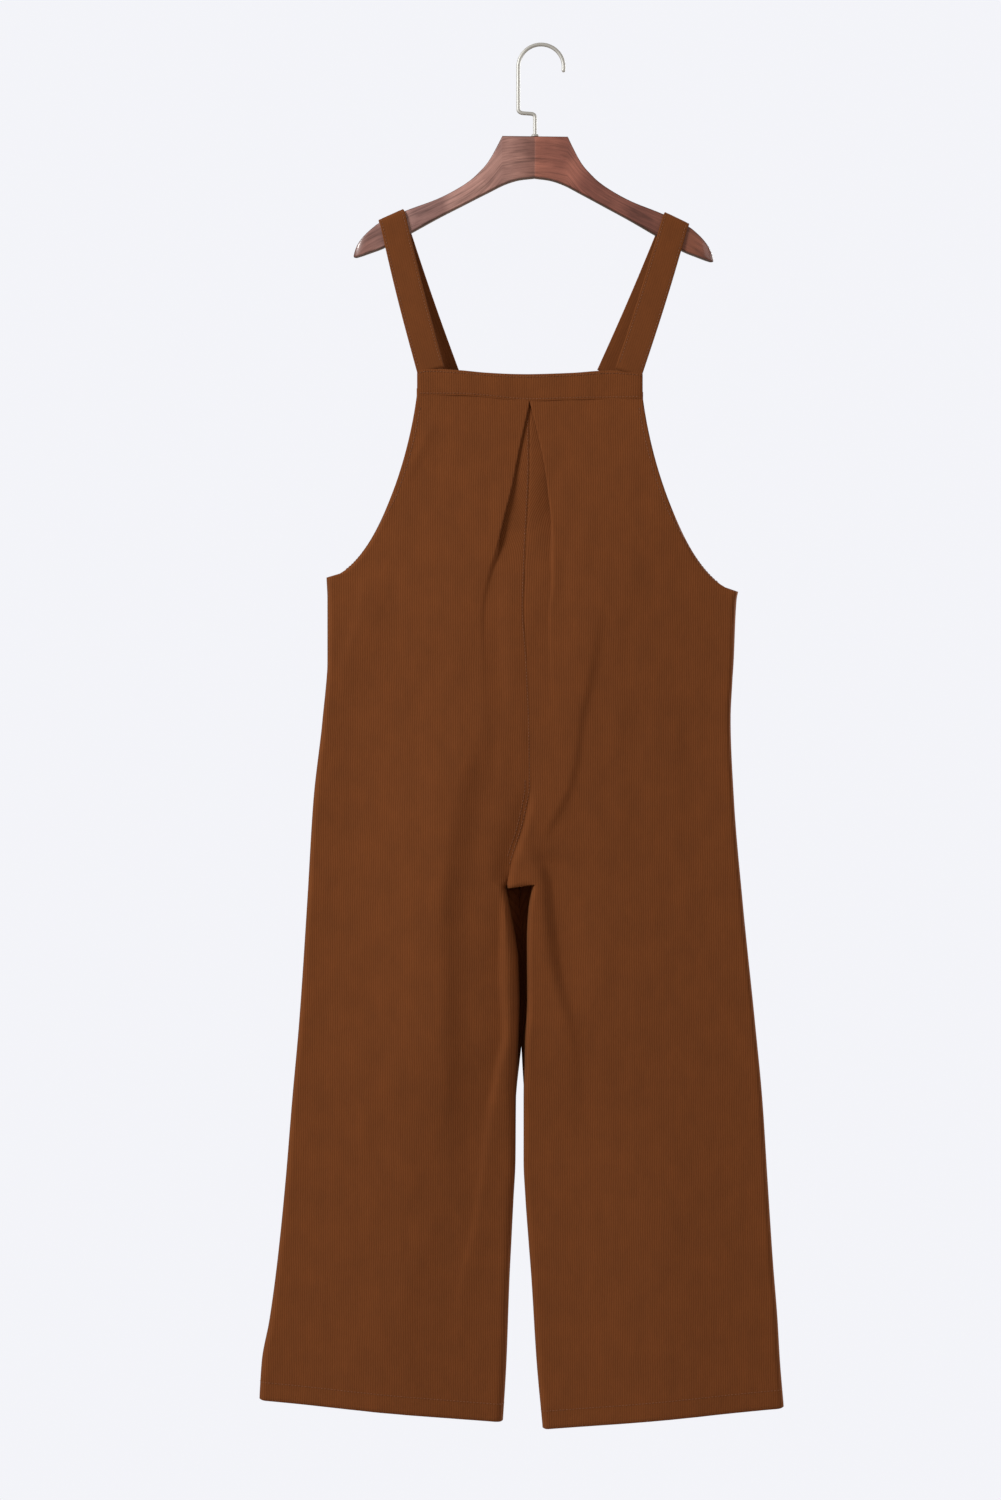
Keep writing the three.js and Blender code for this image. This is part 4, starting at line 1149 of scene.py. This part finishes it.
@dataclass
class Strap:
    """Shoulder strap from the front band, over the hanger, to the back band."""

    side: Side
    front: float
    top: float
    back: float
    width: float = 29
    thick: float = 2.2
    inset: float = 2.6
    caught: float = 2.0
    clear: float = 0.3
    bow: float = 0.96
    ripple: float = 0.36
    lean: float = 1.2
    curl: float = 0.05
    steps: int = 48
    bends: int = 9
    cut: Pair = (0.031, 0.36)

    def path(self) -> tuple[Array, Array, Array]:
        """Middle line of the strap, with the directions across it and out of it."""
        hanger, beside = Hanger(), 5
        slope = (hanger.top_at(self.top + beside) - hanger.top_at(self.top - beside)) / (2 * beside)
        across_top = Vector((1, 0, -slope)).normalized()
        up = Vector((slope, 0, 1)).normalized()
        clear = self.clear + self.thick / 2
        half, corner = hanger.thick / 2 + clear, hanger.edge + clear
        crest = Vector((self.top, 0, -hanger.top_at(self.top))) + up * clear

        def branch(face: Face, foot: float) -> list[tuple[Vector, Vector, Vector]]:
            edge = BANDS[face]["top"]
            shoulder = crest - up * corner
            shoulder.y = face.value * half
            low = Vector((foot, face.value * BAND_DEPTH, -float(edge(foot)) - self.caught))
            run = Vector((low.x - shoulder.x, 0, low.z - shoulder.z)).normalized()
            square = Vector((-run.z, 0, run.x))
            made = []
            for i in range(self.steps):
                t = i / self.steps
                place = low.lerp(shoulder, t)
                place.y = low.y + (shoulder.y - low.y) * float(smooth(t))
                ripple = self.ripple * math.sin(3 * math.pi * t + self.side.value)
                place.y += face.value * (self.bow * math.sin(math.pi * t) + ripple)
                place.x += self.lean * math.sin(math.pi * t) * self.side.value
                wide = square.lerp(across_top, t * t).normalized()
                curl = self.curl * math.sin(2 * math.pi * t + face.value)
                made.append((place, wide, Vector((curl, face.value, 0)).normalized()))
            return made

        rows = branch(Face.FRONT, self.front)
        for face in (Face.FRONT, Face.BACK):
            angles = np.linspace(0, math.pi / 2, self.bends)
            for angle in angles if face is Face.FRONT else angles[::-1]:
                out = Vector((0, face.value * math.cos(angle), 0)) + up * math.sin(angle)
                middle = crest - up * corner
                middle.y = face.value * (half - corner)
                rows.append((middle + out * corner, across_top, out))
        rows += branch(Face.BACK, self.back)[::-1]
        places, widths, outs = (np.array(column) for column in zip(*rows))
        return places, widths, outs

    def build(self, finish: Corduroy) -> Piece:
        """Makes the strap as a closed strip along its path."""
        places, widths, outs = self.path()
        self.line, self.widths, self.outs = places, widths, outs
        ring = strip_ring(self.width, self.thick, self.inset)
        points = np.array([[p + w * x + o * y for x, y in ring] for p, w, o in zip(places, widths, outs)])
        chart = np.array([
            [(x + (0 if y > 0 else UNDER_LAYER), length) for x, y in ring] for length in lengths_along(places)
        ])
        name = f"strap_{self.side.word}"
        piece = grid_piece(name, points, chart, ring=True)
        dress(piece, finish, CORDUROY, name)
        return piece


@dataclass
class Hanger:
    """Shaped wooden hanger of two arms joined at the middle."""

    across: float = -6.3
    thick: float = 12.0
    edge: float = 2.6
    tilt: float = 0.7
    head_top: float = 95.6
    head_half: float = 34.5
    reach: float = 190.0
    round_from: float = 176.0
    flank: Table = Table(
        "out drop",
        (40.4, 107.5), (46.6, 119), (52, 127), (58, 133.5), (66, 141.3), (77.6, 149.6), (101, 162.3),
        (134, 175.1), (152, 183), (164, 189.3), (174, 197.5), (180.5, 204.3), (186, 212), (189, 219.3),
        (190, 223.6),
    )
    belly: Table = Table(
        "out drop",
        (0, 139.2), (15, 141), (28, 144.8), (50, 155.7), (75, 168.8), (100, 182), (130, 199),
        (159, 215.2), (175, 221.3), (183, 224.3), (187.5, 225.6), (189.5, 225.2), (190, 223.6),
    )

    def top_at(self, across: float) -> float:
        """Drop of the upper edge at a place across the hanger as it hangs."""
        tilt = math.tan(math.radians(self.tilt))
        level = float(self.flank["drop"](abs(across - self.across)))
        out = across - self.across + tilt * (level - self.head_top)
        return float(self.flank["drop"](abs(out))) + tilt * out

    def upper(self, out: float) -> float:
        """Drop of the upper edge at a distance from the middle, before the tilt."""
        first = self.flank.place[0]
        if out <= self.head_half:
            return self.head_top
        if out < first:
            t = (out - self.head_half) / (first - self.head_half)
            return self.head_top + (float(self.flank["drop"](first)) - self.head_top) * t
        return float(self.flank["drop"](out))

    def build(self, finish: VarnishedWood) -> Piece:
        """Makes the arms as one closed loft from tip to tip."""
        tip_from = 174
        to_tip = np.sin(np.linspace(0.1, math.pi / 2, 12))
        half_outs = np.concatenate((
            [0, 0.5, 1.0], np.linspace(4, 32, 8), [self.head_half - 0.2, self.head_half + 0.1],
            np.linspace(36, 60, 14), np.linspace(64, tip_from, 30),
            tip_from + (self.reach - tip_from - 0.02) * to_tip,
        ))
        outs = np.concatenate((-half_outs[:0:-1], half_outs))
        corner, steps, thinnest, joint, joint_width = self.edge, 5, 0.05, 0.22, 0.45
        points, chart = [], []
        turn = Matrix.Rotation(math.radians(self.tilt), 4, "Y")
        for out in outs:
            o = abs(out)
            top, low = self.upper(o), float(self.belly["drop"](o))
            tall = max((low - top) / 2, thinnest)
            past = max(0.0, (o - self.round_from) / (self.reach - self.round_from))
            tip = max(1 - past ** 2, 0.0) ** 0.5
            groove = joint * math.exp(-((out / joint_width) ** 2))
            deep = max((self.thick / 2 - groove) * max(tip, 0.08), thinnest)
            r_z, r_y = min(corner, tall), min(corner, deep)
            ring = []
            for k, (sy, sz) in enumerate(((1, 1), (1, -1), (-1, -1), (-1, 1))):
                for i in range(steps + 1):
                    angle = math.pi / 2 * i / steps
                    a, b = math.sin(angle), math.cos(angle)
                    if k % 2:
                        a, b = b, a
                    ring.append((sy * (deep - r_y * (1 - a)), sz * (tall - r_z * (1 - b))))
            ring.append(ring[0])
            row = []
            for y, z in ring:
                local = Vector((out, y, self.head_top - (top + low) / 2 + z))
                placed = turn @ local
                row.append((placed.x + self.across, placed.y, placed.z - self.head_top))
            points.append(row)
            chart.append([(out, y + z) for y, z in ring])
        piece = grid_piece("hanger_arms", np.array(points), np.array(chart), ring=True)
        dress(piece, finish, WOOD, "hanger_arms")
        return piece


@dataclass
class Hook:
    """Wire hook, cranked above the hanger, with a small collar on the wood."""

    wire: float = 4.0
    radius: float = 24.0
    tip_angle: float = -8.0
    crank: float = 70.8
    crank_bend: float = 4.6
    shank_bottom: float = 112.0
    collar: float = 9.0
    collar_top: float = 0.72
    collar_thick: float = 2.4
    collar_lift: float = 0.3
    collar_bevel: float = 0.35

    def path(self) -> Array:
        """Middle of the wire, from the shank's foot to the tip."""
        shank = Hanger().across
        centre = self.wire / 2 - self.radius

        def bend(a: Pair, b: Pair, c: Pair) -> list:
            return [
                ((1 - t) ** 2 * a[0] + 2 * t * (1 - t) * b[0] + t * t * c[0],
                 (1 - t) ** 2 * a[1] + 2 * t * (1 - t) * b[1] + t * t * c[1])
                for t in np.linspace(0, 1, 14)[1:]
            ]

        line = [(shank, -self.shank_bottom), (shank, -95.0), (shank, -self.crank - self.crank_bend)]
        line += bend(line[-1], (shank, -self.crank - 0.6), (shank - self.crank_bend, -self.crank - 0.3))
        line += bend(
            (1.3 * self.crank_bend - self.radius, -self.crank + 0.2),
            (-self.radius, -self.crank + 0.6), (-self.radius, -self.crank + self.crank_bend),
        )
        line += [(-self.radius, z) for z in np.linspace(-self.crank + self.crank_bend, centre, 6)[1:]]
        for angle in np.radians(np.linspace(180, self.tip_angle, 48))[1:]:
            line.append((self.radius * math.cos(angle), centre + self.radius * math.sin(angle)))
        return np.array([(x, 0.0, z) for x, z in line])

    def build(self, finish: NickelWire) -> Piece:
        """Makes the wire as rings along its path, with a rounded tip, and joins the collar."""
        line = self.path()
        heading = np.gradient(line, axis=0)
        heading /= np.linalg.norm(heading, axis=1, keepdims=True)
        half = self.wire / 2
        ends = [
            (line[-1] + heading[-1] * half * math.sin(a), math.cos(a)) for a in np.linspace(0.3, 1.5, 5)
        ]
        rows = [(p, 1.0) for p in line] + ends
        headings = np.concatenate((heading, np.repeat(heading[-1:], len(ends), axis=0)))
        points, chart = [], []
        for (place, scale), ahead in zip(rows, headings):
            square, towards_back = np.array([-ahead[2], 0.0, ahead[0]]), np.array([0, 1, 0])
            angles = np.linspace(0, 2 * math.pi, 17)
            around = (math.cos(a) * square + math.sin(a) * towards_back for a in angles)
            points.append([place + half * scale * way for way in around])
            chart.append([(a, place[2]) for a in angles])
        piece = grid_piece("hanger_hook", np.array(points), np.array(chart), ring=True)
        self.add_collar(piece)
        dress(piece, finish, NICKEL, "hanger_hook")
        return piece

    def add_collar(self, piece: Piece) -> None:
        """Adds the collar that sits on the wood around the shank."""
        hanger = Hanger()
        bm = bmesh.new()
        bm.from_mesh(piece.data)
        base, bottom = self.collar_lift - hanger.head_top, self.collar / 2 * MM
        place = Matrix.Translation(Vector((hanger.across, 0, base + self.collar_thick / 2)) * MM)
        made = bmesh.ops.create_cone(
            bm, cap_ends=True, segments=32, radius1=bottom, radius2=bottom * self.collar_top,
            depth=self.collar_thick * MM, matrix=place,
        )
        rims = {
            edge for vert in made["verts"] for edge in vert.link_edges
            if edge.calc_length() < self.collar_thick / 2 * MM
        }
        bmesh.ops.bevel(
            bm, geom=list(rims), offset=self.collar_bevel * MM, offset_type="OFFSET", segments=2,
            profile=0.5, affect="EDGES", material=-1,
        )
        bm.to_mesh(piece.data)
        bm.free()


@dataclass
class Stitching:
    """Rows of topstitches, as short threads lying on the cloth."""

    length: float = 2.7
    gap: float = 0.8
    thread: float = 0.42
    stand: float = 0.15
    strap_sunk: float = 0.3
    band_sunk: float = 0.14

    def along(self, line: Array, outs: Array) -> list[tuple[Vector, Vector, Vector]]:
        """Places stitches along a line.

        Args:
            line: Points of the line, in millimetres.
            outs: Directions out of the cloth there.

        Returns:
            Start, end and outward direction of each stitch.
        """
        travelled = lengths_along(line)
        made = []
        start = self.gap
        while start + self.length < travelled[-1]:
            ends = [Vector(read_at(place, travelled, line)) for place in (start, start + self.length)]
            made.append((*ends, Vector(read_at(start, travelled, outs)).normalized()))
            start += self.length + self.gap
        return made

    def build(self, name: str, rows: Sequence[Row], finish: Thread) -> Piece:
        """Makes all the stitches of some rows as one joined mesh.

        Args:
            name: Name of the piece.
            rows: Lines and their outward directions.
            finish: Thread.

        Returns:
            The piece.
        """
        pattern = bmesh.new()
        bmesh.ops.create_uvsphere(pattern, u_segments=6, v_segments=4, radius=1)
        mould = bpy.data.meshes.new("stitch")
        pattern.to_mesh(mould)
        pattern.free()
        bm = bmesh.new()
        for line, outs in rows:
            for start, end, out in self.along(line, outs):
                first = len(bm.verts)
                bm.from_mesh(mould)
                bm.verts.ensure_lookup_table()
                run = (end - start) / 2
                side = out.cross(run).normalized() * self.thread
                basis = Matrix((side, out * self.thread, run)).transposed().to_4x4()
                basis.translation = (start + end) / 2 + out * self.stand
                for vert in bm.verts[first:]:
                    vert.co = (basis @ vert.co) * MM
        for face in bm.faces:
            face.smooth = True
        mesh = bpy.data.meshes.new(name)
        bm.to_mesh(mesh)
        bm.free()
        bpy.data.meshes.remove(mould)
        piece = add_object(name, mesh)
        dress(piece, finish, CORDUROY)
        return piece

    def down_panel(self, panel: Panel, inset: float, start: float, end: float, inner: bool) -> Row:
        """Line on a panel at a distance from one of its long edges.

        Args:
            panel: Panel that carries the stitches.
            inset: Distance from the edge.
            start: Drop at which the line starts.
            end: Drop at which it ends.
            inner: Whether it follows the inner edge.

        Returns:
            The line and its outward directions.
        """
        line, outs = [], []
        for points, normals in zip(panel.face_points, panel.face_normals):
            row, square = (points, normals) if inner else (points[::-1], normals[::-1])
            if not start <= -row[0][2] <= end:
                continue
            travelled = lengths_along(row)
            place, out = read_at(inset, travelled, row), read_at(inset, travelled, square)
            line.append(place + out * CLOTH / 2)
            outs.append(out)
        return np.array(line), np.array(outs)

    def across_hem(self, panel: Panel) -> Row:
        """Line of the hem's stitches across a panel."""
        row = -LEVELS[-1].steps + 1
        points, normals = panel.face_points[row, 1:-1], panel.face_normals[row, 1:-1]
        return points + normals * CLOTH / 2, normals

    def on_strap(self, strap: Strap) -> list[Row]:
        """The two lines along a strap."""
        inset, lift = strap.width / 2 - strap.inset, strap.thick / 2 - self.strap_sunk
        line, widths, outs = (values[2:-2] for values in (strap.line, strap.widths, strap.outs))
        return [(line + widths * inset * side + outs * lift, outs) for side in (-1, 1)]

    def on_band(self, band: Band) -> list[Row]:
        """The two lines along a band."""
        table, face, end = BANDS[band.face], band.face.value, 2
        across = np.linspace(table.place[0] + end, table.place[-1] - end, 120)
        depth = face * (band_depth(across) + band.thick / 2 - self.band_sunk)
        outs = np.tile((0.0, float(face), 0.0), (len(across), 1))
        return [
            (np.stack((across, depth, -table[edge](across) - inset), axis=1), outs)
            for edge, inset in (("top", band.inset), ("seam", -band.inset))
        ]


@dataclass
class Stage:
    """Pale floor, soft studio light and the camera. Places are in metres."""

    floor_drop: float = 2.3
    floor_radius: float = 1.0
    camera_across: float = -0.04275
    camera_drop: float = 0.7427
    camera_away: float = 3.2
    lens: float = 72.755

    def build(self) -> None:
        """Sets up the floor, the sky, the lights and the camera."""
        self.floor()
        self.sky()
        self.light("key", (-3.3, -2.4, 1.3), 1.3, 184.0, (0.99, 0.99, 0.98))
        self.light("fill", (2.0, -2.8, 0.3), 1.6, 11.0, (0.97, 0.98, 1.0))
        self.light("edge", (3.4, -0.9, -0.4), 1.6, 26.0, (0.98, 0.99, 1.0))
        self.light("rear", (2.9, 2.6, 0.6), 1.8, 105.0, (1.0, 0.99, 0.98))
        camera = bpy.data.cameras.new("camera")
        camera.lens = self.lens
        camera.sensor_width = 36
        holder = add_object("camera", camera)
        holder.location = (self.camera_across, -self.camera_away, -self.camera_drop)
        holder.rotation_euler = (math.pi / 2, 0, 0)
        bpy.context.scene.camera = holder
        bpy.context.scene.view_settings.view_transform = "Standard"

    def floor(self) -> None:
        """Makes the round pale floor, well below the hems."""
        bm = bmesh.new()
        bmesh.ops.create_circle(bm, cap_ends=True, segments=96, radius=self.floor_radius)
        bmesh.ops.translate(bm, vec=(0, 0, -self.floor_drop), verts=bm.verts)
        mesh = bpy.data.meshes.new("floor")
        bm.to_mesh(mesh)
        bm.free()
        nodes = Nodes("Floor_pale")
        place = nodes.add("TexCoord")
        grain = nodes.add("TexNoise", Vector=place.outputs["Object"], Scale=6.0, Detail=4.0)
        pale = nodes.ramp(grain.outputs[0], (0.3, (0.80, 0.80, 0.81)), (0.7, (0.84, 0.84, 0.85)))
        mesh.materials.append(nodes.surface(Base_Color=pale, Roughness=0.8))
        floor = add_object("floor", mesh)

    def sky(self) -> None:
        """Makes a pale surround, dimmer as a light than it looks."""
        world = bpy.data.worlds.new("studio")
        world.use_nodes = True
        tree = world.node_tree
        back = tree.nodes["Background"]
        seen = tree.nodes.new("ShaderNodeBackground")
        seen.inputs[0].default_value = (0.90, 0.905, 0.945, 1)
        back.inputs[0].default_value = (1.0, 0.81, 0.62, 1)
        back.inputs[1].default_value = 0.24
        ray = tree.nodes.new("ShaderNodeLightPath")
        mix = tree.nodes.new("ShaderNodeMixShader")
        tree.links.new(ray.outputs["Is Camera Ray"], mix.inputs[0])
        tree.links.new(back.outputs[0], mix.inputs[1])
        tree.links.new(seen.outputs[0], mix.inputs[2])
        tree.links.new(mix.outputs[0], tree.nodes["World Output"].inputs[0])
        bpy.context.scene.world = world

    def light(self, name: str, place: Triple, size: float, power: float, colour: Colour) -> None:
        """Adds a soft lamp that looks at the middle of the garment.

        Args:
            name: Name of the lamp.
            place: Where it stands.
            size: Side of its square.
            power: Its power in watts.
            colour: Its colour.
        """
        lamp = bpy.data.lights.new(name, "AREA")
        lamp.size = size
        lamp.energy = power
        lamp.color = colour
        holder = add_object(name, lamp)
        holder.location = place
        aim = Vector((0, 0, -self.camera_drop)) - Vector(place)
        holder.rotation_euler = aim.to_track_quat("-Z", "Y").to_euler()


def main() -> None:
    """Builds the stage, the garment and the hanger, in that order."""
    logging.basicConfig(level=logging.INFO, format="%(name)s %(message)s")
    Stage().build()
    cloth = Corduroy()
    narrow = Corduroy(label="narrow", ridge=(0.156, 0.0468, 0.0114), depth=0.35)
    cuts = {Face.FRONT: (0.34, 1.13, 0.28), Face.BACK: (0.30, 1.13, 0.27)}
    panels = [Panel(side, face, cuts[face]) for face in Face for side in Side]
    bands = [Band(Face.FRONT, (0.24, 0.03)), Band(Face.BACK, (0.21, 0.03))]
    straps = [Strap(Side.LEFT, -116, -157.5, -100.4), Strap(Side.RIGHT, 91.6, 142.5, 73)]
    for piece, finish in [(made, cloth) for made in panels + bands] + [(made, narrow) for made in straps]:
        piece.build(finish)
    Hanger().build(VarnishedWood())
    Hook().build(NickelWire())
    sewing = Stitching()
    rows = [sewing.across_hem(panel) for panel in panels]
    for panel in panels:
        inset, top = ARMHOLE_STITCHES
        rows.append(sewing.down_panel(panel, inset, top, ARMPITS[panel.side][1] - ARMPIT_CLEAR, inner=False))
        if panel.side is Side.LEFT:
            rows += [sewing.down_panel(panel, *row, inner=True) for row in SEAM_STITCHES]
    for strap in straps:
        rows += sewing.on_strap(strap)
    for band in bands:
        rows += sewing.on_band(band)
    sewing.build("topstitching", rows, Thread())


if __name__ == "__main__":
    main()
